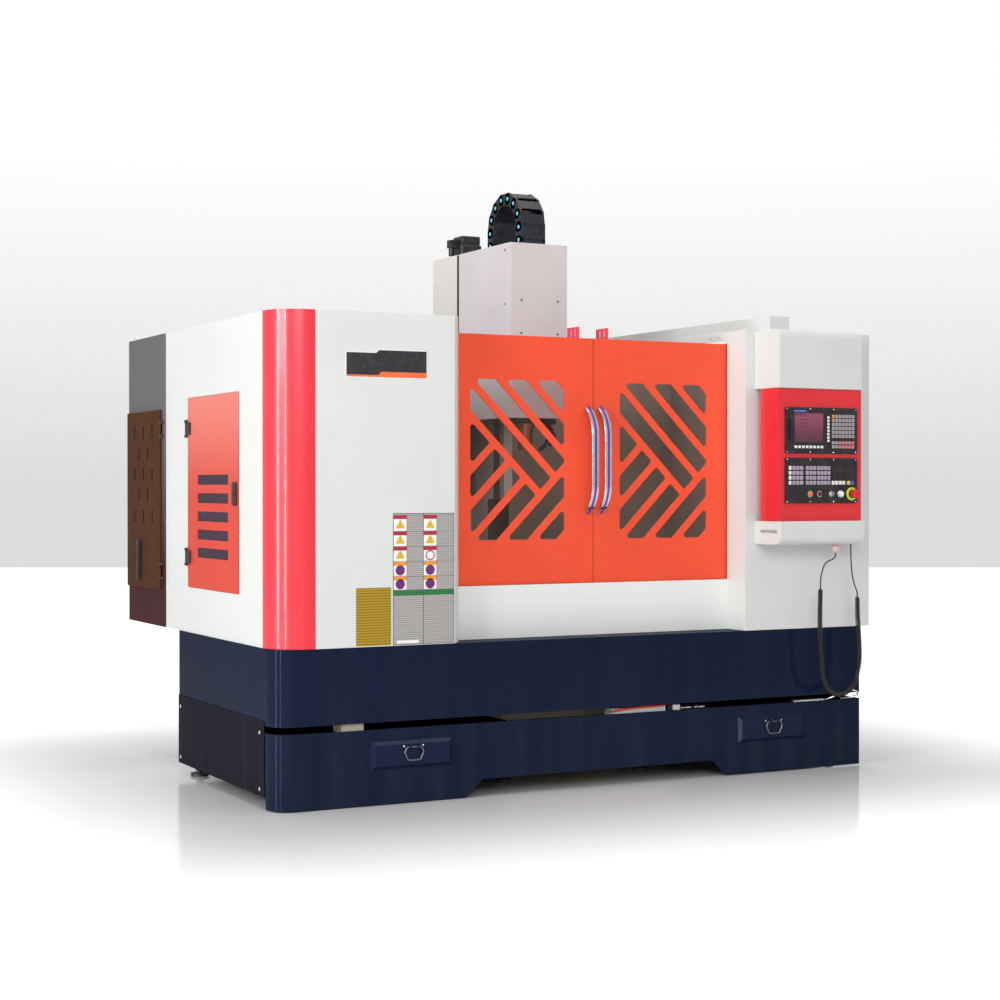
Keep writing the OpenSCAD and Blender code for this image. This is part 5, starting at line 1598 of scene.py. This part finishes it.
@dataclass
class ControlUnit(Assembly):
    """The control unit and the operator panel: bezels, screen, keys and switches."""

    key_high: float = 0.002
    dial_ticks: int = 11
    first_tick: float = -135.0
    tick_pitch: float = 27.0
    rim: float = 0.004
    lines: tuple[float, ...] = (0.050, 0.042, 0.046, 0.036, 0.030)

    @property
    def left(self) -> float:
        """The left edge of both instruments."""
        return Span.of("cnc_unit").left

    @property
    def seat(self) -> float:
        """The front plane of both plates, which the keys stand on."""
        return Span.of("panel_keys").back

    def _keys(self, name: str, finish: Finish, low: float, blocks: Rows) -> None:
        """Blocks of moulded keys as one piece.

        Args:
            name: The piece's name.
            finish: The keys' finish.
            low: Height of the plate's lower edge.
            blocks: For each block, in millimetres, its left and top, its numbers of columns and rows,
                their pitches, and a key's width and height.
        """
        made = []
        for x, z, columns, rows, pitch_x, pitch_z, wide, tall in blocks:
            pattern = Bench.block("key", (0, -self.key_high, -tall / 1000), (wide / 1000, 0.0005, 0), 0.0012)
            places = [(x + i * pitch_x, z - j * pitch_z) for i in range(columns) for j in range(rows)]
            places = [(self.left + across / 1000, self.seat, low + up / 1000) for across, up in places]
            made.append(Bench.copies("keys", pattern, [Matrix.Translation(place) for place in places]))
        self.dress(Bench.join(name, made), finish, "pale_keys")

    def build(self) -> None:
        """Builds both instruments."""
        self.skins(
            ("cnc_unit", PANEL_PLASTIC, 0.001),
            ("operator_panel", PANEL_PLASTIC, 0.001),
            ("cnc_screen", SCREEN_GLASS, 0.0, 2, 0.0),
        )
        unit, panel = Span.of("cnc_unit").bottom, Span.of("operator_panel").bottom
        # Name, finish, height of the plate's lower edge, and blocks of keys in millimetres.
        keys = (
            ("keys_white", WHITE_KEY, unit, (49, 36, 8, 1, 20.5, 14, 14, 12),
             (230, 169, 1, 8, 14, 15, 12, 11)),
            ("keys_grey", GREY_KEY, unit, (275, 177, 6, 6, 18.5, 18, 15, 15),
             (256, 159, 1, 5, 18.5, 18, 15, 15), (256, 57, 2, 2, 18.5, 18, 15, 14)),
            ("keys_pink", PINK_KEY, unit, (293, 57, 5, 2, 18.5, 18, 15, 14)),
            ("key_orange", ORANGE_KEY, unit, (256, 177, 1, 1, 18.5, 18, 15, 15)),
            ("keys_panel_edge", WHITE_KEY, panel, (17, 167, 1, 4, 20, 22, 14, 17),
             (255, 101, 4, 1, 20, 22, 16, 17)),
            ("keys_panel", LILAC_KEY, panel, (36, 167, 3, 4, 21, 22, 18, 17),
             (111, 167, 3, 4, 20, 22, 17, 17), (174, 167, 4, 4, 19, 22, 16, 17)),
            ("key_yellow", YELLOW_KEY, panel, (342, 101, 1, 1, 20, 22, 17, 17)),
            ("key_blue", BLUE_KEY, panel, (366, 101, 1, 1, 20, 22, 12, 17)),
        )
        for name, finish, low, *blocks in keys:
            self._keys(name, finish, low, blocks)
        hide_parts("panel_keys")
        self._dials(panel)
        self._screws()
        self._bars(unit)
        self._switches()

    def _dials(self, low: float) -> None:
        """The dark field with two printed dials."""
        left, seat = self.left, self.seat
        near, far = (left + 0.254, seat - 0.0008, low + 0.106), (left + 0.392, seat + 0.0005, low + 0.184)
        self.panel("dial_field", near, far, DIAL_PLASTIC, "black_plastic", 0.0004)
        rings, ticks = [], []
        disc = [(0.0, -0.003), (0.010, -0.003), (0.011, -0.002), (0.011, 0.0), (0.0, 0.0)]
        for x in (0.290, 0.356):
            centre = Vector((left + x, seat, low + 0.145))
            rings.append(Bench.turned("dial", disc, Axis.Y, centre, 24))
            for step in range(self.dial_ticks):
                angle = math.radians(self.first_tick + self.tick_pitch * step)
                turn = Matrix.Rotation(angle, 4, "Y")
                tick = Bench.block("tick", (-0.0008, -0.0012, 0.018), (0.0008, 0.0, 0.024))
                tick.data.transform(Matrix.Translation(centre) @ turn)
                ticks.append(tick)
        self.dress(Bench.join("dial_discs", rings), BLACK_PLASTIC, "black_plastic")
        self.dress(Bench.join("dial_ticks", ticks), HOLD_RED, "pale_keys", smooth=0.0)

    def _screws(self) -> None:
        """Bright screws along the bezels' edges."""
        places = []
        for plate in (Span.of("cnc_unit"), Span.of("operator_panel")):
            rows = (plate.bottom + 0.007, plate.top - 0.007)
            places += [(self.left + x, self.seat, z) for x in (0.009, 0.136, 0.266, 0.391) for z in rows]
        self.screws("bezel_screws", places, Axis.Y, radius=0.0034)

    def _bars(self, low: float) -> None:
        """The plain bars that the display shows, the strip above it and the frame round it."""
        left, seat = self.left, self.seat
        near, far = (left + 0.046, seat - 0.0006, low + 0.187), (left + 0.110, seat + 0.0004, low + 0.194)
        self.panel("unit_strip", near, far, BLUE_KEY, "black_plastic", 0.0002)
        screen, edge = Span.of("cnc_screen"), self.rim
        # Left and width of each bar, its foot under the display's top, and its height.
        bars = [(0.006, 0.064, -0.012, 0.007)]
        bars += [(0.028, wide, -0.030 - row * 0.017, 0.004) for row, wide in enumerate(self.lines)]
        made = []
        for x, wide, z, high in bars:
            start, foot = screen.left + x, screen.top + z
            far = (start + wide, screen.front + 0.0003, foot + high)
            made.append(Bench.block("bar", (start, screen.front - 0.0004, foot), far))
        self.dress(Bench.join("screen_bars", made), SCREEN_INK, "screen", smooth=0.0)
        near = (screen.left - edge, seat - 0.0012, screen.bottom - edge)
        rim = Bench.block("screen_rim", near, (screen.right + edge, seat + 0.0004, screen.top + edge), 0.0006)
        near, far = (screen.left, seat - 0.01, screen.bottom), (screen.right, seat + 0.01, screen.top)
        self.dress(Bench.cut(rim, Bench.block("rim_hole", near, far)), BLACK_PLASTIC, "black_plastic")

    def _switches(self) -> None:
        """The push buttons, the stop button and its ring, the override knob and the key switch."""
        self.skins(
            ("start_button", START_ORANGE, 0.0015, 3),
            ("hold_button", HOLD_RED, 0.0015, 3),
            ("estop_button", STOP_RED, 0.0, 2, 50.0),
            ("override_knob", WHITE_KEY, 0.0012, 3),
            ("key_switch", KEY_STEEL, 0.0008),
        )
        stop = Span.of("estop_button").middle
        rim = [(0.0195, -0.0075), (0.028, -0.0075), (0.0295, -0.006), (0.0295, 0.0), (0.0195, 0.0)]
        ring = Bench.turned("estop_ring", rim, Axis.Y, (stop.x, self.seat, stop.z), 40)
        self.dress(ring, STOP_RING, "stop_red")
        collars = []
        radii = {"start_button": 0.0145, "hold_button": 0.0145, "override_knob": 0.0165, "key_switch": 0.0125}
        for node, radius in radii.items():
            centre = Span.of(node).middle
            inner, rim = radius - 0.0035, radius - 0.001
            profile = [(inner, -0.0045), (rim, -0.0045), (radius, -0.0035), (radius, 0.0), (inner, 0.0)]
            collars.append(Bench.turned("collar", profile, Axis.Y, (centre.x, self.seat, centre.z), 28))
        self.dress(Bench.join("switch_collars", collars), CHROME, "zinc_steel")


@dataclass
class Pendant(Assembly):
    """The pendant's hood, body and shelf."""

    def build(self) -> None:
        """Builds the pendant."""
        self.skin("pendant_hood", WHITE_PAINT, 0.004, 3, 40.0)
        self.skin("pendant_body", PENDANT_PAINT, 0.0025, 3)
        self._shelf()
        self._port_caps()

    def _shelf(self) -> None:
        """The shelf with a recess and a slit in its left end."""
        shelf = Bench.from_node("pendant_shelf", 0.0)
        span = Span.of("pendant_shelf")
        end, front, middle = span.left, span.front, span.middle.z
        near, far = (end - 0.01, front + 0.03, middle + 0.006), (end + 0.012, front + 0.15, middle + 0.013)
        Bench.cut(shelf, Bench.block("slit", near, far))
        Bench.soften(shelf, 0.003, 3, 35.0)
        self.dress(shelf, WHITE_PAINT, "white_paint", "pendant_shelf", smooth=40.0)
        near = (end - 0.003, front + 0.026, middle + 0.003)
        far = (end + 0.010, front + 0.154, middle + 0.0055)
        self.panel("shelf_slot_lip", near, far, DARK_STEEL, "black_plastic", 0.0008)

    def _port_caps(self) -> None:
        """The dark caps over the ports on the pendant's right side."""
        body = Span.of("pendant_body")
        y = Span.of("cord_coil").middle.y
        profile = [(0.0, 0.0), (0.0215, 0.0), (0.0215, 0.0045), (0.019, 0.006), (0.010, 0.0062),
                   (0.0, 0.0062)]
        places = [(body.right - 0.005, y, body.bottom + z) for z in (0.043, 0.128, 0.318)]
        made = [Bench.turned("cap", profile, Axis.X, place, 28) for place in places]
        self.dress(Bench.join("port_caps", made), BLACK_PLASTIC, "black_plastic")


@dataclass
class Bed(Assembly):
    """What stands inside the enclosure: bed, column, liner, saddle, table, screws and motors."""

    def build(self) -> None:
        """Builds the machine's castings and slides."""
        self.skin("machine_bed", BED_CASTING, 0.006, 3)
        column = self.skin("column", COLUMN_CASTING, 0.004, 3)
        front, roof = Span.of("column").front, Span.of("rear_panels").top - 0.02
        deep = front + 0.3
        self.repaint(column, WAY_COVER, lambda at, normal: normal.y < -0.5 and at.z < roof and at.y < deep)
        self.skins(
            ("chamber_liner", LINER_PAINT, 0.0, 2, 0.0),
            ("saddle", SADDLE_CASTING, 0.003, 3),
            ("table", GROUND_STEEL, 0.001),
            ("x_motor", BLACK_PLASTIC, 0.003, 3),
            *((node, GROUND_STEEL, 0.001) for node in ("x_screw", "y_screw", "z_screw")),
        )


@dataclass
class Head(Assembly):
    """The head's casting, cover and screws, the spindle, its hoses and the motor above the column."""

    body: str = "head"
    hoses: Sequence[Line] = (
        ((0.09, -0.045, -0.028), (0.092, -0.055, -0.06), (0.088, -0.06, -0.10),
         (0.070, -0.055, -0.135), (0.052, -0.04, -0.15)),
        ((0.118, -0.02, -0.028), (0.125, -0.03, -0.055), (0.13, -0.05, -0.085),
         (0.118, -0.065, -0.115), (0.095, -0.06, -0.125)),
    )
    motor_half: float = 0.065

    def build(self) -> None:
        """Builds the head."""
        self.skin("head_casting", DARK_CASTING, 0.005, 3)
        self.skin("head_cover", HEAD_PAINT, 0.0012)
        self._spindle()
        self._cover_screws()
        self._hoses()
        self._motor()

    def _spindle(self) -> None:
        """The spindle's quill and nose, with a collet holder in it."""
        span = Span.of("spindle")
        x, y = span.middle.x, span.middle.y
        tall = span.top - span.bottom
        nose = [(0.0, 0.0), (0.024, 0.0), (0.024, 0.004), (0.035, 0.004), (0.035, 0.030), (0.0345, 0.031),
                (0.0345, 0.034), (0.035, 0.035), (0.035, 0.085), (0.0395, 0.090), (0.0395, 0.1),
                (0.045, 0.101), (0.045, tall), (0.0, tall)]
        quill = Bench.turned("spindle_quill", nose, Axis.Z, (x, y, span.bottom), 40)
        self.dress(quill, BRONZE, "ground_steel", "spindle", body="spindle")

    def _cover_screws(self) -> None:
        """Dark screws on the front and the left of the cover."""
        span = Span.of("head_cover")
        front = [(span.left + x, span.front, span.top - z) for x in (0.057, 0.250) for z in (0.265, 0.417)]
        left = [(span.left, span.front + 0.055, span.top - z) for z in (0.030, 0.281, 0.600)]
        self.screws("cover_front_screws", front, Axis.Y, finish=DARK_STEEL, slot="black_plastic")
        self.screws("cover_side_screws", left, Axis.X, finish=DARK_STEEL, slot="black_plastic")

    def _hoses(self) -> None:
        """Two segmented coolant hoses and the block they start from."""
        spindle = Span.of("spindle")
        x, y, top = spindle.middle.x, spindle.middle.y, Span.of("head_cover").bottom + 0.004
        near, far = (x + 0.075, y - 0.06, top - 0.030), (x + 0.135, y + 0.02, top + 0.001)
        self.panel("hose_block", near, far, DARK_STEEL, "black_plastic", 0.003)
        rim = [(0.0, -0.004), (0.006, -0.004), (0.0092, -0.001), (0.0092, 0.003), (0.005, 0.0055),
               (0.0, 0.0055)]
        for number, route in enumerate(self.hoses):
            line = smooth_line([(x + a, y + b, top + c) for a, b, c in route], 5)
            bead = Bench.turned("bead", rim, Axis.Z, (0, 0, 0), 12)
            places = []
            for here, after in zip(line, line[1:]):
                turn = (after - here).to_track_quat("Z", "Y").to_matrix().to_4x4()
                places.append(Matrix.Translation(here) @ turn)
            hose = Bench.copies(f"coolant_hose_{number}", bead, places)
            self.dress(hose, BLACK_PLASTIC, "black_plastic", smooth=50.0)

    def _motor(self) -> None:
        """The servo motor on the column, with its flange, cap and two connectors."""
        span, half = Span.of("z_motor"), self.motor_half
        plate, high = Span.of("column").top, span.top
        x, y = span.right - half, span.middle.y
        # Name, left, right, half depth, bottom, top, bevel and its steps.
        boxes = (
            ("flange", x - half, x + half, half, plate, plate + 0.014, 0.003, 3),
            ("barrel", x - 0.058, x + 0.058, 0.058, plate + 0.012, high - 0.042, 0.012, 4),
            ("cap", x - 0.052, x + 0.052, 0.052, high - 0.044, high, 0.008, 4),
            ("socket", span.left, x - 0.048, 0.02, high - 0.060, high - 0.020, 0.003, 2),
        )
        parts = [
            Bench.block(name, (near, y - deep, foot), (far, y + deep, top), bevel, segments)
            for name, near, far, deep, foot, top, bevel, segments in boxes
        ]
        parts.append(Bench.drum("plug", Axis.Z, (span.left + 0.016, y, high - 0.1), 0.014, 0.05, 0.002, 20))
        parts.append(Bench.drum("plug", Axis.Z, (x - 0.02, y - 0.02, high - 0.02), 0.013, 0.018, 0.002, 20))
        motor = Bench.join("z_motor_shell", parts)
        self.dress(motor, BLACK_PLASTIC, "black_plastic", "z_motor", body="machine")


@dataclass
class DragChain(Assembly):
    """The drag chain that loops over the column, with pale blue joints."""

    body: str = "chain"
    pitch: float = 0.066
    link: float = 0.057
    bend: float = 0.145
    rise: float = 0.0977
    plate: float = 0.012
    runs: int = 5
    chamfer: float = 0.013
    turn: float = 0.0
    left: float = 0.0
    right: float = 0.0
    centre: Place = (0.0, 0.0, 0.0)

    def build(self) -> None:
        """Builds the links and the joints."""
        span = Span.of("chain_loop")
        self.left, self.right = span.left, span.right
        self.centre = Vector((0.0, span.middle.y, Span.of("column").top + self.rise))
        self.turn = 2 * math.asin(self.pitch / 2 / self.bend)
        links, joints = self._places()
        shell = Bench.copies("chain_links", self._link(), links)
        self.dress(shell, CHAIN_PLASTIC, "chain_plastic", "chain_loop")
        pins = Bench.copies("chain_pins", self._pin(), joints)
        self.dress(pins, PIN_PLASTIC, "chain_plastic")

    def _places(self) -> tuple[list[Matrix], list[Matrix]]:
        """Where each link and each joint goes."""
        middle = self.bend * math.cos(self.turn / 2)
        home = Matrix.Translation(self.centre)

        def round_at(i: float, reach: float) -> Matrix:
            """A place on the bend, some turns of a link from its crown."""
            return home @ Matrix.Rotation(i * self.turn, 4, "X") @ Matrix.Translation((0, 0, reach))

        links = [round_at(i, middle) @ Matrix.Rotation(math.pi / 2, 4, "X") for i in range(-3, 4)]
        joints = [round_at(i + 0.5, self.bend) for i in range(-4, 4)]
        for y in (-self.bend, self.bend):
            for i in range(self.runs):
                spin = Matrix.Identity(4) if y < 0 else Matrix.Rotation(math.pi, 4, "X")
                links.append(home @ Matrix.Translation((0, y, -self.pitch * (i + 0.5))) @ spin)
                joints.append(home @ Matrix.Translation((0, y, -self.pitch * (i + 1))))
        return links, joints

    def _link(self) -> Piece:
        """One link upright at the origin: side plates, an outer lid with its tongue and latches, and an inner
        bar.
        """
        half, reach, c = self.link / 2, self.pitch / 2 + self.link * 0.4, self.chamfer
        corner = [(half, reach - c), (half - c * 0.4, reach - c * 0.35), (half - c, reach)]
        outline = [(-y, -z) for y, z in corner]
        outline += [(y, -z) for y, z in reversed(corner)]
        outline += corner
        outline += [(-y, z) for y, z in reversed(corner)]
        parts = []
        for low, high in ((self.left, self.left + self.plate), (self.right - self.plate, self.right)):
            parts.append(Bench.slab("side", outline, Axis.X, low, high, 0.0012))
        near, far = self.left + self.plate - 0.001, self.right - self.plate + 0.001
        # Name, left, right, outer and inner plane, bottom, top and bevel.
        bars = [
            ("lid", near, far, -half, -half + 0.005, -0.0322, 0.0322, 0.0015),
            ("tongue", near + 0.002, far - 0.002, -half + 0.0052, -half + 0.0075, -0.0405, 0.0405, 0.001),
            ("bar", near, far, half - 0.006, half, -0.026, 0.026, 0.0015),
        ]
        for x in (near + 0.012, far - 0.012):
            bars.append(("latch", x - 0.007, x + 0.007, -half - 0.0003, -half + 0.002, 0.012, 0.026, 0.001))
        for name, left, right, front, back, low, high, bevel in bars:
            parts.append(Bench.block(name, (left, front, low), (right, back, high), bevel))
        return Bench.join("link", parts)

    def _pin(self) -> Piece:
        """The joint's two pale discs, one on each side."""
        disc = [(0.0, 0.0), (0.0095, 0.0), (0.0095, 0.001), (0.0085, 0.0016), (0.0, 0.0016)]
        turned_over = [(radius, -place) for radius, place in disc]
        near = Bench.turned("disc", turned_over, Axis.X, (self.left, 0, 0), 20)
        far = Bench.turned("disc", disc, Axis.X, (self.right, 0, 0), 20)
        return Bench.join("pin", [near, far])


def main() -> None:
    """Builds the camera, the studio and each sub-assembly in order."""
    logging.basicConfig(level=logging.INFO, format="%(message)s")
    CameraRig().build()
    HandwheelCord().build()
    Studio().build()
    parts: list[Assembly] = [
        Base(),
        Drawer(hand=Side.LEFT),
        Drawer(hand=Side.RIGHT),
        Enclosure(),
        Cabinet(),
        SlidingDoor(hand=Side.LEFT),
        SlidingDoor(hand=Side.RIGHT),
        SideDoor(),
        Pendant(),
        ControlUnit(),
        Bed(),
        Head(),
        DragChain(),
    ]
    for part in parts:
        part.build()
    scene = bpy.context.scene
    scene.view_settings.view_transform = "Standard"
    log.info("machine built")


if __name__ == "__main__":
    main()
